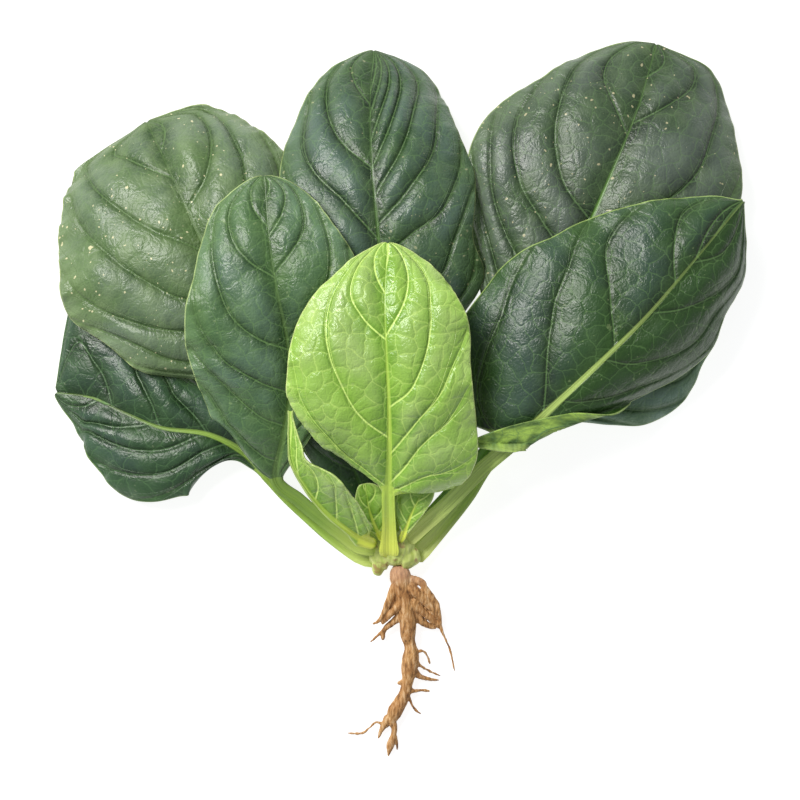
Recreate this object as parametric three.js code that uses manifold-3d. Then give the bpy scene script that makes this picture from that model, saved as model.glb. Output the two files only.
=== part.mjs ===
// A spinach plant pulled whole and laid on its back: broad leaves fanned out on ribbed stalks, small leaves
// in the heart, a pale crown where the stalks meet, and a brown tap root with side roots.
// Millimetres. +Z is up from the surface, +Y runs from the root to the leaf tips, and the origin is the
// flat spot under the crown.
import * as THREE from "three";
import { mergeVertices } from "three/addons/utils/BufferGeometryUtils.js";
import Module from "manifold-3d";

const wasm = await Module();
wasm.setup();

// Sizes that all the leaves share
const BLADE_THICK = 0.8;
const TIP_RIB = { halfWidth: 0.7, depth: 0.5 };
const GROOVE = 0.35;
const MEETING_GAP = 0.35;
const SURFACE_Z = 0;

// How finely a leaf is faceted: rings along it, with some where the stalk opens into the blade, and columns
// across each half, those on the rib first
const LARGE = { stalkRings: 5, openingRings: 1, bladeRings: 16, ribColumns: 2, sideColumns: 3 };
const ROLLED = { ...LARGE, openingRings: 4, bladeRings: 32, sideColumns: 6 };
const SMALL = { stalkRings: 3, openingRings: 0, bladeRings: 9, ribColumns: 1, sideColumns: 2 };
const WIDEST_RIB_SHARE = 0.6;

// Each leaf, from those that lie on the surface to those on top.
// rib: points along the upper face of stalk and midrib, from the crown to the tip.
// stalk: its length up to the blade, half its width, its depth, and how much it widens at the crown.
// left, right: half-widths of the blade from its base to its tip, seen from above with the tip ahead.
// fold, curl: the angle at which each half leaves the midrib, and how far it has turned by the margin.
// wave: height, number and phase of the waves along the margins.
// veins: where each side vein is at the midrib, a third and two thirds out, and at the margin, as shares of
// the blade's length, and how high the leaf swells between them.
// lobes: how far each half slants back at its base, as a share of the distance from the midrib.
// roll: where the margin beside the base is turned over. It gives, from the base up to that share of the
// blade, how far from the midrib it turns, the angle that it turns to, and how far it then slants back.
const LEAVES = [
  {
    name: "leaf_low_left", colour: 0x35562c, grain: LARGE,
    rib: [[-5, 0.5, 5.4], [-14, 1.8, 5], [-25, 9.4, 5], [-34.5, 17.8, 5.2], [-43, 25.8, 6.2],
      [-51.5, 35, 8], [-61.5, 44, 11], [-75, 50.5, 14], [-93, 53, 14], [-108, 59, 10.5],
      [-121, 65, 6.5], [-136, 67, 2.2]],
    stalk: { length: 64, halfWidth: 2.6, depth: 4.2, flare: 0.7 },
    left: [3, 7, 24.5, 28, 32.5, 30, 24.5, 19.5, 17.5, 11.5, 7, 3, 1],
    right: [3, 14, 20, 24, 26, 28, 30, 32.5, 38.5, 42, 42.5, 39.5, 2],
    fold: [14, 14], curl: [-50, -40], wave: { height: 1.6, count: 2.5, phase: 0.4 },
    veins: {
      left: [[0.16, 0.3, 0.52, 0.75], [0.27, 0.5, 0.75, 1], [0.53, 0.68, 0.88, 1.15]],
      right: [[0.05, 0.15, 0.26, 0.42], [0.27, 0.36, 0.5, 0.72], [0.48, 0.57, 0.75, 1.1],
        [0.72, 0.84, 0.97, 1.3]],
      swell: 1.6,
    },
  },
  {
    name: "leaf_low_right", colour: 0x35562c, grain: LARGE,
    rib: [[6, 0, 5.4], [11, 4.5, 5], [19, 13.5, 5], [28.5, 25.5, 5.4], [39, 41, 6.5], [60, 58, 10],
      [82, 72, 12], [106, 84, 9.5], [129, 96, 2.2]],
    stalk: { length: 62, halfWidth: 3, depth: 4.4, flare: 0.5 },
    left: [3.5, 21.5, 24.5, 27, 27, 24.5, 22.5, 19.5, 16.5, 12, 8, 4, 1],
    right: [4.5, 7.5, 9.5, 18, 24.5, 26, 24.5, 20, 13, 9.5, 5.5, 3, 1],
    fold: [12, 10], curl: [-40, -46], wave: { height: 1.4, count: 2, phase: 0.1 },
    veins: {
      left: [[0.06, 0.14, 0.26, 0.42], [0.24, 0.32, 0.45, 0.65], [0.42, 0.52, 0.66, 0.9],
        [0.6, 0.7, 0.86, 1.1], [0.78, 0.88, 1.02, 1.3]],
      right: [[0.12, 0.2, 0.32, 0.5], [0.3, 0.39, 0.52, 0.75], [0.5, 0.6, 0.75, 1], [0.7, 0.8, 0.96, 1.25]],
      swell: 1.4,
    },
  },
  {
    name: "leaf_back_left", colour: 0x3c5f33, grain: LARGE,
    rib: [[-4, 4, 10], [-18, 22, 11], [-38, 51, 15], [-53, 77, 21], [-66, 103, 26], [-78, 130, 27],
      [-89, 154, 19], [-99.5, 175.5, 2.4]],
    stalk: { length: 92, halfWidth: 2.4, depth: 3.8, flare: 0.2 },
    left: [20, 43.5, 52, 61.5, 62, 58, 55, 50.5, 45.5, 41, 37, 31.5, 1],
    right: [12, 27, 36, 42.5, 46, 47.5, 45, 40.5, 37, 33, 28.5, 22.5, 1.5],
    fold: [10, 10], curl: [-38, -44], wave: { height: 2, count: 3, phase: 0.7 },
    veins: {
      left: [[0.01, 0.03, 0.14, 0.4], [0.11, 0.19, 0.31, 0.6], [0.24, 0.35, 0.6, 0.95],
        [0.42, 0.6, 0.82, 1.08], [0.72, 0.86, 0.98, 1.2]],
      right: [[0.08, 0.14, 0.35, 0.8], [0.34, 0.43, 0.7, 1.15], [0.59, 0.69, 0.89, 1.3]],
      swell: 2.2,
    },
  },
  {
    name: "leaf_back_right", colour: 0x3c5f33, grain: LARGE,
    rib: [[4, 5, 10], [15, 19, 11], [32, 38, 12], [48, 62, 15], [60, 91, 22], [71, 120, 27], [84, 150, 26],
      [96, 179, 18], [104.5, 206.5, 2.2]],
    stalk: { length: 104, halfWidth: 2.5, depth: 3.9, flare: 0.2 },
    left: [28, 38, 47.5, 56, 57.5, 54, 47, 39.5, 32.5, 24.5, 16, 9, 1],
    right: [3, 28.5, 42, 50, 55, 55, 50.5, 43.5, 38.5, 33.5, 28, 21, 1],
    fold: [10, 10], curl: [-40, -44], wave: { height: 1.6, count: 2.5, phase: 0.2 },
    veins: {
      left: [[0.08, 0.14, 0.28, 0.62], [0.22, 0.32, 0.46, 0.8], [0.37, 0.46, 0.68, 1],
        [0.66, 0.75, 0.9, 1.2]],
      right: [[0.05, 0.1, 0.2, 0.45], [0.22, 0.28, 0.4, 0.7], [0.37, 0.46, 0.68, 1.05],
        [0.7, 0.8, 0.94, 1.2], [0.87, 0.96, 1.08, 1.35]],
      swell: 2.2,
    },
  },
  {
    name: "leaf_back_centre", colour: 0x36592e, grain: LARGE,
    rib: [[-1, 7, 10], [-0.5, 32, 14], [-2, 64, 23], [-4, 96, 32], [-6.5, 128, 36], [-9, 156, 32],
      [-10, 182, 19.5], [-8.5, 204, 2.2]],
    stalk: { length: 66, halfWidth: 2.4, depth: 3.8, flare: 0.2 },
    left: [3, 12, 27.5, 33.5, 37.5, 38.5, 35.5, 30, 24.5, 18.5, 11, 5, 1],
    right: [3, 27, 42.5, 39.5, 42, 42.5, 38, 34.5, 31.5, 28, 22, 13.5, 1],
    fold: [8, 8], curl: [-40, -44], wave: { height: 1.4, count: 3, phase: 0.5 },
    veins: {
      left: [[0.08, 0.14, 0.22, 0.45], [0.23, 0.3, 0.38, 0.66], [0.4, 0.51, 0.63, 0.89],
        [0.6, 0.68, 0.81, 1.02], [0.8, 0.87, 0.97, 1.2]],
      right: [[0.05, 0.1, 0.17, 0.35], [0.19, 0.25, 0.32, 0.55], [0.34, 0.41, 0.48, 0.72],
        [0.44, 0.53, 0.67, 0.95], [0.52, 0.66, 0.88, 1.2]],
      swell: 2.2,
    },
  },
  {
    name: "leaf_inner_dark", colour: 0x24401f, grain: SMALL,
    rib: [[-3, 9, 12.5], [-9, 20, 15], [-16, 36, 20], [-22, 52, 26], [-25, 67, 30]],
    stalk: { length: 8, halfWidth: 1.8, depth: 2.4, flare: 0.2 },
    left: [3, 8, 12, 15, 16, 14, 10, 6, 1],
    right: [3, 12, 15, 15, 14, 12, 8, 4, 1],
    fold: [12, 12], curl: [-40, -40], wave: { height: 0.8, count: 3, phase: 0 },
    veins: {
      left: [[0.1, 0.18, 0.3, 0.5], [0.4, 0.5, 0.65, 0.9], [0.7, 0.8, 0.95, 1.2]],
      right: [[0.2, 0.28, 0.4, 0.6], [0.5, 0.6, 0.75, 1]],
      swell: 1,
    },
  },
  {
    name: "leaf_front_left", colour: 0x35592f, grain: LARGE,
    rib: [[-6, 5, 11.5], [-14, 5.8, 11.5], [-20, 9.8, 12], [-30, 17.2, 13], [-38, 24, 15], [-47, 32.5, 20],
      [-44, 50, 31], [-41, 70, 39], [-42.5, 89, 44], [-46.5, 108, 47], [-49.5, 128, 46], [-51.5, 152.5, 38]],
    stalk: { length: 53, halfWidth: 2.5, depth: 4, flare: 0.5 },
    left: [3, 26.5, 37, 39.5, 41, 38.5, 32.5, 28.5, 24.5, 19.5, 12.5, 6.5, 1],
    right: [3, 9, 16, 23, 29.5, 34, 32.5, 28, 23, 18, 13, 6.5, 1],
    fold: [10, 8], curl: [-34, -26], wave: { height: 1.8, count: 3, phase: 0.3 },
    veins: {
      left: [[0.06, 0.08, 0.14, 0.3], [0.19, 0.22, 0.3, 0.52], [0.3, 0.34, 0.44, 0.7],
        [0.44, 0.51, 0.66, 0.98], [0.67, 0.74, 0.86, 1.15], [0.83, 0.9, 1.02, 1.3]],
      right: [[0.12, 0.18, 0.28, 0.5], [0.29, 0.38, 0.49, 0.75], [0.47, 0.56, 0.66, 0.92],
        [0.68, 0.75, 0.85, 1.1], [0.8, 0.87, 0.99, 1.3]],
      swell: 1.5,
    },
  },
  {
    name: "leaf_front_right", colour: 0x35592f, grain: ROLLED,
    rib: [[3, 7, 13], [11, 14, 15.5], [19, 21, 19], [27, 29, 23], [36, 38, 27], [50, 50, 33], [66, 65, 40],
      [84, 82, 43], [100, 98, 42], [118, 119, 38], [138, 143, 28]],
    stalk: { length: 67, halfWidth: 3, depth: 4, flare: 0.3 },
    left: [26, 48, 54.5, 54.5, 50, 46, 39, 31, 23, 15, 8, 2, 1],
    right: [25, 19, 24.5, 31, 36.5, 38.5, 32.5, 30.5, 27, 16.5, 7, 2, 1],
    fold: [6, -14], curl: [-30, -52], wave: { height: 1.6, count: 3, phase: 0.9 },
    lobes: [0.8, 0],
    roll: { until: 0.2, from: [3.2, 5, 11, 18, 24.5], angle: 154, slant: [1, 0.7, 0.2, 0, 0] },
    veins: {
      left: [[-0.02, 0, 0.14, 0.43], [0.09, 0.25, 0.43, 0.66], [0.39, 0.5, 0.6, 0.8],
        [0.66, 0.74, 0.84, 1], [0.76, 0.92, 1.11, 1.34]],
      right: [[-0.02, 0.03, 0.12, 0.38], [0.16, 0.21, 0.34, 0.72], [0.34, 0.41, 0.59, 1],
        [0.54, 0.63, 0.8, 1.17], [0.74, 0.84, 1.02, 1.34]],
      swell: 1.7,
    },
  },
  {
    name: "leaf_small_left", colour: 0x6f9c35, grain: SMALL,
    rib: [[-4, 7, 15], [-7, 12, 18], [-10, 20, 21.5], [-12, 31, 26]],
    stalk: { length: 6, halfWidth: 1.2, depth: 1.4, flare: 0.2 },
    left: [1.4, 4, 5, 5.4, 5, 4.2, 3.4, 2.4, 0.7],
    right: [1.4, 6, 8, 8.6, 8, 6.6, 5, 3, 0.7],
    fold: [20, 20], curl: [-30, -30], wave: { height: 0.4, count: 3, phase: 0.2 },
    veins: {
      left: [[0.15, 0.24, 0.36, 0.55], [0.5, 0.6, 0.75, 1]],
      right: [[0.25, 0.34, 0.46, 0.65], [0.6, 0.7, 0.85, 1.1]],
      swell: 0.5,
    },
  },
  {
    name: "leaf_small_right", colour: 0x6f9c35, grain: SMALL,
    rib: [[2, 7, 16], [4, 12, 19.5], [7.5, 21, 24], [13.5, 32, 28]],
    stalk: { length: 6, halfWidth: 1.2, depth: 1.4, flare: 0.2 },
    left: [1.4, 5, 7.4, 8.4, 8.4, 7.4, 5.6, 3.4, 0.7],
    right: [1.4, 3, 4.2, 4.8, 5, 4.6, 3.6, 2.4, 0.7],
    fold: [20, 20], curl: [-30, -30], wave: { height: 0.4, count: 3, phase: 0.6 },
    veins: {
      left: [[0.15, 0.24, 0.36, 0.55], [0.5, 0.6, 0.75, 1]],
      right: [[0.25, 0.34, 0.46, 0.65], [0.6, 0.7, 0.85, 1.1]],
      swell: 0.5,
    },
  },
  {
    name: "leaf_curled", colour: 0x7ba53c, grain: SMALL,
    rib: [[-7, 6.5, 17], [-13, 8.5, 21], [-20, 13.5, 27], [-28, 20.5, 33], [-35, 29.5, 39], [-40.5, 41, 45],
      [-41, 60, 49]],
    stalk: { length: 9, halfWidth: 1.8, depth: 2, flare: 0.6 },
    left: [3.5, 1, 1, 1, 1, 1, 1.5, 1, 1, 1, 1, 1, 1],
    right: [8, 11, 14, 15, 15.5, 11.5, 6.5, 5.5, 3.5, 2, 1, 1, 1],
    fold: [30, 30], curl: [-20, 10], wave: { height: 0.9, count: 3.5, phase: 0.3 },
    veins: {
      left: [[0.1, 0.18, 0.3, 0.5], [0.5, 0.6, 0.75, 1]],
      right: [[0.2, 0.28, 0.4, 0.6], [0.4, 0.48, 0.6, 0.8], [0.6, 0.7, 0.85, 1.1]],
      swell: 0.6,
    },
  },
  {
    name: "leaf_centre", colour: 0x86ae35, grain: LARGE,
    rib: [[-2.4, 0.5, 14.4], [-2.4, 8, 18.4], [-2.4, 16, 24], [-2.6, 28, 33], [-2.2, 44, 43],
      [-2.4, 64, 52], [-3.4, 84, 56], [-4, 104, 55], [-2.8, 126, 47]],
    stalk: { length: 36, halfWidth: 2.3, depth: 3.6, flare: 1.2 },
    left: [4.5, 23, 34, 40.5, 40, 38, 34, 27.5, 19.5, 13.5, 8, 4, 1],
    right: [26, 35, 35, 34, 33.5, 34, 32.5, 28.5, 24.5, 18.5, 12, 6, 1],
    fold: [12, 12], curl: [-34, -36], wave: { height: 1.4, count: 3, phase: 0.6 },
    lobes: [0, 0.17],
    veins: {
      left: [[-0.08, 0, 0.14, 0.62], [0.21, 0.34, 0.65, 1.08], [0.61, 0.7, 0.84, 1.2],
        [0.79, 0.88, 1, 1.3]],
      right: [[-0.06, 0.05, 0.1, 0.16], [0, 0.17, 0.28, 0.42], [0.14, 0.29, 0.42, 0.66],
        [0.34, 0.45, 0.78, 1.25], [0.62, 0.78, 1.05, 1.5]],
      swell: 1.3,
    },
  },
];
// The margins lie ahead of the part of the midrib that their flesh grows from. At the base the blade opens
// out of this last length of the stalk, and a lobe slants from this far before the base to this share of the
// blade. The bend of a rolled margin is this long, and its angle opens out from this share of the roll on.
const MARGIN_AHEAD = 0.6;
const BASE_LOBE = 5;
const LOBE_START = 8;
const LOBE_END = 0.15;
const ROLL_ARC = 3.5;
const ROLL_OPENS = 0.5;

// The swelling starts this far from the midrib. A section is summed in so many steps, and the lie of the
// points around a point is used where it turns its face by no more than this (as a cosine).
const RIB_SWELL_START = 5;
const SECTION_STEPS = 24;
const CROWDED = 0.8;

// The swelling fades over this share of the blade before its tip. The waves of the two margins are this
// share of a turn apart, and grow to their full height with the width of the half blade. The stalk widens
// towards the crown within a few times this length.
const TIP_FLAT = 1 / 6;
const SIDES_APART = 0.35;
const FULL_WAVE_WIDTH = 20;
const FLARE_LENGTH = 8;

// The crown, turned about the plant's axis, which runs along Y at this height above the surface, and the
// stub of a lost leaf beside the root
const CROWN = {
  axisZ: 7.2, colour: 0xb9c36a, sides: 18,
  profile: [[-2.4, 0], [-2.4, 4.8], [-1, 7.4], [1, 8.2], [7, 8.2], [10, 6.6], [13, 3.4], [14, 0]],
  stub: { path: [[-5.5, 1, 8, 3], [-6.6, -2.6, 8, 2.8], [-7.2, -6, 7.6, 1.6]], facets: 8, steps: 3 },
};

// The tap root and the side roots on it: points along each, with its radius there
const ROOT = {
  colour: 0x9a6f45, tapFacets: 10, tapSteps: 26, sideFacets: 5, sideSteps: 5,
  tap: [
    [2, -1, 7.4, 4.8], [2, -5, 7.3, 4.9], [2.8, -9.5, 7.2, 3.9], [3.6, -14, 6.8, 3.4], [4.4, -20, 6.2, 3.3],
    [5.2, -25, 5.6, 3.4], [5.2, -30.5, 5, 3.2], [6.4, -36, 4.5, 2.4], [5.8, -43, 4, 3.3], [5, -48, 3.7, 3.3],
    [4, -53, 3.4, 2.4], [2, -57, 3.2, 2.3], [0.2, -60, 3.1, 2.7], [-1.2, -64, 3, 3], [-0.2, -67, 2.6, 1.6],
    [-0.8, -70.5, 2.2, 1.2], [-2, -74.5, 1.8, 1.8], [-2.8, -79, 1, 0.5],
  ],
  sides: [
    [[0.8, -8, 8, 1.8], [-2.8, -17, 8, 1.6], [-6, -23.6, 6.6, 1], [-9.4, -25.6, 5.6, 0.4]],
    [[1.2, -12, 6, 2.2], [-2, -19, 5, 1.9], [-4.8, -25, 4, 0.9]],
    [[2.6, -17, 8, 2], [-2, -21.6, 7, 1.4], [-5.4, -25.4, 5.4, 0.8]],
    [[3, -21.5, 6, 2], [-1.2, -25, 4.6, 1.4], [-4.4, -28, 3, 1.1], [-4.8, -32, 2, 0.9]],
    [[-3.4, -27, 3.6, 1], [-6.8, -30, 2.4, 0.6], [-10, -33, 1.6, 0.4]],
    [[4.5, -7.5, 7.6, 2.2], [10, -8.4, 8.6, 1.7], [12, -11, 8.6, 1.4], [14.8, -15, 7.6, 1.4],
      [17.4, -18.4, 6.6, 0.9]],
    [[4.6, -10, 8.6, 2.4], [10, -14, 8.4, 2.1], [14.8, -19, 7, 1.7], [17.6, -24, 5.4, 1]],
    [[4.6, -12.5, 6, 2.4], [10, -17.5, 5, 2.2], [14, -22.5, 4.2, 1.6], [17, -26, 3.6, 1]],
    [[6, -16, 7.6, 2.2], [10, -19.6, 7, 1.6], [14, -23, 5.8, 1.3], [17.8, -27, 4.4, 0.8]],
    [[6, -19, 5.4, 2.6], [9.4, -23.2, 4.4, 2], [13.2, -26, 3.6, 1.4], [16.6, -27.2, 3, 0.6]],
    [[16.6, -16.5, 7.2, 0.9], [17.6, -22, 6, 1], [18, -26.4, 4.8, 0.8]],
    [[17, -23.5, 5.4, 1], [19.6, -30.4, 3.8, 0.5], [22, -36, 2.4, 0.45], [24, -45, 1, 0.4]],
    [[7.6, -37, 4.6, 1], [10.8, -36.2, 4.4, 0.5], [12.8, -38, 3, 0.5], [14, -41.6, 1.4, 0.5]],
    [[7.2, -39, 4.2, 1.3], [10, -42, 3.6, 0.6], [14, -44.4, 2.4, 0.5], [18.4, -46.4, 1, 0.4]],
    [[6.8, -44, 3.6, 2.2], [10, -46.4, 2.8, 1.1], [14, -47.6, 1.8, 0.7], [18, -48, 1, 0.4]],
    [[5.2, -52, 3.4, 1.5], [8, -52.2, 3, 0.7], [10.8, -52, 2.2, 0.6], [14, -52.4, 1.2, 0.5]],
    [[4.4, -53, 3.2, 1.4], [6, -56, 2.4, 0.6], [7.6, -59.2, 1.6, 0.5], [10.4, -61.6, 1, 0.4]],
    [[2.8, -48.8, 3.4, 1.3], [0.8, -49.2, 3.2, 0.4]],
    [[-2.8, -63, 3, 1.5], [-4.8, -65.2, 2.6, 0.6], [-7.6, -64.8, 2.2, 0.5], [-10, -66.8, 1.8, 0.5],
      [-13.2, -69.2, 1.2, 0.5], [-19.2, -69.2, 0.8, 0.4]],
    [[-2, -62.4, 2.8, 2.2], [-4, -65.6, 2.2, 1.6], [-5.6, -68.4, 1.6, 0.9], [-6.8, -71.6, 1, 0.35]],
    [[-0.4, -69.6, 2.2, 1.1], [0.8, -72.8, 1.6, 0.6], [0.8, -76, 1, 0.35]],
  ],
};

const radians = THREE.MathUtils.degToRad;
const mix = THREE.MathUtils.lerp;

// A closed mesh as a solid, so that solids can be cut and joined
function solidOf(geometry) {
  const bare = new THREE.BufferGeometry().setAttribute("position", geometry.getAttribute("position"));
  if (geometry.index) bare.setIndex(geometry.index);
  const merged = mergeVertices(bare, 1e-4);
  return new wasm.Manifold(new wasm.Mesh({
    numProp: 3,
    vertProperties: merged.getAttribute("position").array,
    triVerts: new Uint32Array(merged.index.array),
  }));
}

function meshOf(solid, name, colour, roughness) {
  const { vertProperties, triVerts } = solid.getMesh();
  const geometry = new THREE.BufferGeometry()
    .setAttribute("position", new THREE.BufferAttribute(vertProperties, 3))
    .setIndex(new THREE.BufferAttribute(triVerts, 1));
  geometry.computeVertexNormals();
  const mesh = new THREE.Mesh(geometry, new THREE.MeshStandardMaterial({ color: colour, roughness }));
  mesh.name = name;
  return mesh;
}

// What is left of a cut solid once the scraps are dropped
function largest(solid) {
  return solid.decompose().reduce((a, b) => (a.volume() > b.volume() ? a : b));
}

const pathThrough = (points) =>
  new THREE.CatmullRomCurve3(points.map((p) => new THREE.Vector3(...p)), false, "catmullrom", 0.5);

// A smooth value read from evenly spaced ones, for x from 0 to 1
function smoothValue(values, x) {
  const last = values.length - 1;
  const i = Math.min(Math.floor(x * last), last - 1);
  const [a, b] = [values[i], values[i + 1]];
  const before = i > 0 ? values[i - 1] : 2 * a - b;
  const after = i + 2 <= last ? values[i + 2] : 2 * b - a;
  const t = x * last - i;
  const [inSlope, outSlope] = [(b - before) / 2, (after - a) / 2];
  const square = 3 * (b - a) - 2 * inSlope - outSlope;
  const cube = 2 * (a - b) + inSlope + outSlope;
  return a + t * (inSlope + t * (square + t * cube));
}

// Counts the side veins passed on the way up the midrib, so that each vein is where this is a whole number
function veinCount(veins, t, s) {
  const places = veins.map((vein) => smoothValue(vein, t));
  const last = places.length - 1;
  const after = places.findIndex((place) => place > s);
  const k = THREE.MathUtils.clamp((after < 0 ? last : after) - 1, 0, last - 1);
  return k + (s - places[k]) / (places[k + 1] - places[k]);
}

// Where the margin turns over at a place along the blade, where it has done so, the angle that it turns to,
// which opens out again at the far end, and how far it slants back
function rollPlace(leaf, theta) {
  if (!leaf.roll || theta >= leaf.roll.until) return null;
  const along = Math.max(theta, 0) / leaf.roll.until;
  const start = smoothValue(leaf.roll.from, along);
  const angle = leaf.roll.angle * (1 - THREE.MathUtils.smoothstep(along, ROLL_OPENS, 1));
  return { start, end: start + ROLL_ARC, angle, slant: smoothValue(leaf.roll.slant, along) };
}

// How far out and up a half blade comes at a distance from the midrib. It leaves the midrib at the fold and
// turns by the curl up to its margin. Past a roll it goes on at the angle of the roll. The stalk opens into
// this section bit by bit, and turns sooner than it widens.
function crossSection(leaf, side, distance, width, roll, opened) {
  const step = distance / SECTION_STEPS;
  const section = { run: 0, rise: 0, rolled: 0, angle: radians(leaf.fold[side]) };
  for (let i = 0; i < SECTION_STEPS; i++) {
    const x = (i + 0.5) * step;
    section.rolled = roll ? THREE.MathUtils.smoothstep(x, roll.start, roll.end) : 0;
    const open = leaf.fold[side] + (leaf.curl[side] * x) / width;
    const turned = section.rolled ? mix(open, roll.angle, section.rolled) : open;
    section.angle = radians(mix(leaf.fold[side] / 2, turned, opened ** (1 / 4)));
    section.run += step * Math.cos(section.angle);
    section.rise += step * Math.sin(section.angle);
  }
  return section;
}

// The columns of a half blade whose margin is turned over, as distances from the midrib: the edge of the
// rib, four across the bend, and two on the part that lies over
function rollColumns(ribHalf, roll, width) {
  const bend = [0, 1 / 3, 2 / 3, 1].map((share) => mix(roll.start, roll.end, share));
  return [ribHalf, ...bend, mix(roll.end, width, 0.5), width];
}

// A point on the upper face of a leaf, with the depth of the leaf below it and the way that the face looks
// before it swells. Along the blade theta runs from 0 at its base to 1 at its tip, and along the stalk from
// -1 at the crown to 0. The columns run from the left margin to the right one, with 0 on the midrib.
function leafPoint(leaf, curve, theta, column, grow, stalkOnly) {
  const { stalk, grain } = leaf;
  const length = curve.getLength();
  const bladeLength = length - stalk.length;
  const onStalk = theta < 0;
  const toBlade = Math.max(0, -theta) * stalk.length;
  const opening = grain.openingRings ? Math.max(0, 1 - toBlade / BASE_LOBE) ** 2 : Number(!onStalk);
  const opened = stalkOnly ? 0 : opening;
  const onBlade = opened > 0;
  const side = column > 0 ? 1 : 0;
  const margin = Math.sin((Math.max(theta, 0) * Math.PI) / 2);
  const flare = 1 + stalk.flare * Math.exp(-((1 + theta) * stalk.length) / FLARE_LENGTH);
  const ribHalf = onStalk
    ? stalk.halfWidth * flare + grow
    : mix(stalk.halfWidth, TIP_RIB.halfWidth, Math.sqrt(margin)) * flare + grow;
  const bladeHalf = smoothValue(side ? leaf.right : leaf.left, Math.max(theta, 0));
  const width = Math.max(ribHalf, mix(ribHalf, bladeHalf, opened));
  const ribShare = Math.min(WIDEST_RIB_SHARE, ribHalf / width);
  const onRib = Math.min(Math.abs(column), grain.ribColumns) / grain.ribColumns;
  const beside = Math.max(0, Math.abs(column) - grain.ribColumns);
  const roll = onBlade && side ? rollPlace(leaf, theta) : null;
  const evenly = (ribShare * onRib + (1 - ribShare) * (beside / grain.sideColumns)) * width;
  const distance = roll && beside && roll.end < width ? rollColumns(ribHalf, roll, width)[beside] : evenly;
  const t = distance / width;
  const ahead = onBlade ? (MARGIN_AHEAD * (1 - t) * width) / (width + margin * bladeLength) : 0;
  const s = margin * (1 - ahead);
  const rolledBack = roll ? roll.slant * Math.max(0, distance - roll.end) : 0;
  const lobeHere = leaf.lobes && !stalkOnly && toBlade < LOBE_START ? leaf.lobes[side] : 0;
  const lobe = lobeHere * (1 - THREE.MathUtils.smoothstep(theta, 0, LOBE_END));
  const at = (1 + Math.min(theta, 0)) * stalk.length + s * bladeLength - lobe * distance - rolledBack;

  const here = curve.getPointAt(at / length);
  const forward = curve.getTangentAt(at / length);
  const across = forward.clone().cross(new THREE.Vector3(0, 0, 1)).normalize();
  const out = across.clone().cross(forward);
  const halfFold = radians(leaf.fold[side] / 2);
  const section = onBlade
    ? crossSection(leaf, side, distance, width, roll, opened)
    : { run: distance * Math.cos(halfFold), rise: distance * Math.sin(halfFold), angle: halfFold };
  let rise = section.rise;
  if (onBlade) {
    const count = veinCount(side ? leaf.veins.right : leaf.veins.left, t, s);
    const offRib = 1 - Math.exp(-((distance / RIB_SWELL_START) ** 2));
    const offTip = Math.min(1, (1 - s) / TIP_FLAT);
    const flat = opened * (1 - section.rolled);
    rise += leaf.veins.swell * Math.abs(Math.sin(Math.PI * count)) * offRib * (1 - t ** 4) * offTip * flat;
    const turn = leaf.wave.count * s + leaf.wave.phase + side * SIDES_APART;
    const waving = leaf.wave.height * Math.min(1, width / FULL_WAVE_WIDTH) * flat;
    rise += waving * Math.sin(2 * Math.PI * turn) * t ** 3;
  }
  rise += grow - GROOVE * (1 - onRib ** 2) * Math.min(1, ribHalf / stalk.halfWidth);
  const outward = across.clone().multiplyScalar(side ? 1 : -1);
  const point = here.clone().addScaledVector(outward, section.run).addScaledVector(out, rise);
  const below = distance < ribHalf ? Math.sqrt(1 - (distance / ribHalf) ** 2) : 0;
  const ribDepth = mix(stalk.depth - BLADE_THICK, TIP_RIB.depth, Math.sqrt(onStalk ? 0 : s));
  point.depth = BLADE_THICK + ribDepth * below + 2 * grow;
  point.facing = out.clone().multiplyScalar(Math.cos(section.angle));
  point.facing.addScaledVector(outward, -Math.sin(section.angle));
  return point;
}

// The rings of a leaf, each a row of points on the upper face and then a row on the lower one. The lower
// face lies straight behind the upper one, and both lift where the surface under the plant stops them. Where
// rings crowd together, their points don't show which way the face looks.
function leafRings(leaf, grow = 0, stalkOnly = false) {
  const { grain } = leaf;
  const curve = pathThrough(leaf.rib);
  const thetas = [];
  for (let i = 0; i < grain.stalkRings; i++) thetas.push(i / grain.stalkRings - 1);
  for (let i = grain.openingRings; i > 0; i--) {
    thetas.push((-BASE_LOBE / leaf.stalk.length) * (i / grain.openingRings));
  }
  for (let i = 0; i <= (stalkOnly ? 0 : grain.bladeRings); i++) thetas.push(i / grain.bladeRings);
  const columns = [];
  const most = grain.ribColumns + grain.sideColumns;
  for (let j = -most; j <= most; j++) columns.push(j);
  const pointAt = (theta, column) => leafPoint(leaf, curve, theta, column, grow, stalkOnly);
  const upper = thetas.map((theta) => columns.map((column) => pointAt(theta, column)));

  return upper.map((row, i) => {
    const next = upper[Math.min(i + 1, upper.length - 1)];
    const previous = upper[Math.max(i - 1, 0)];
    const lower = row.map((point, j) => {
      const alongLeaf = next[j].clone().sub(previous[j]);
      const acrossLeaf = row[Math.min(j + 1, row.length - 1)].clone().sub(row[Math.max(j - 1, 0)]);
      const normal = acrossLeaf.cross(alongLeaf).normalize();
      if (normal.dot(point.facing) < CROWDED) normal.copy(point.facing);
      return point.clone().addScaledVector(normal, -point.depth);
    });
    const lifted = row.map((point, j) => {
      const lift = grow ? 0 : Math.max(0, SURFACE_Z - lower[j].z);
      lower[j].z += lift;
      return point.clone().setZ(point.z + lift);
    });
    return [...lifted, ...lower.reverse()];
  });
}

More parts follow.
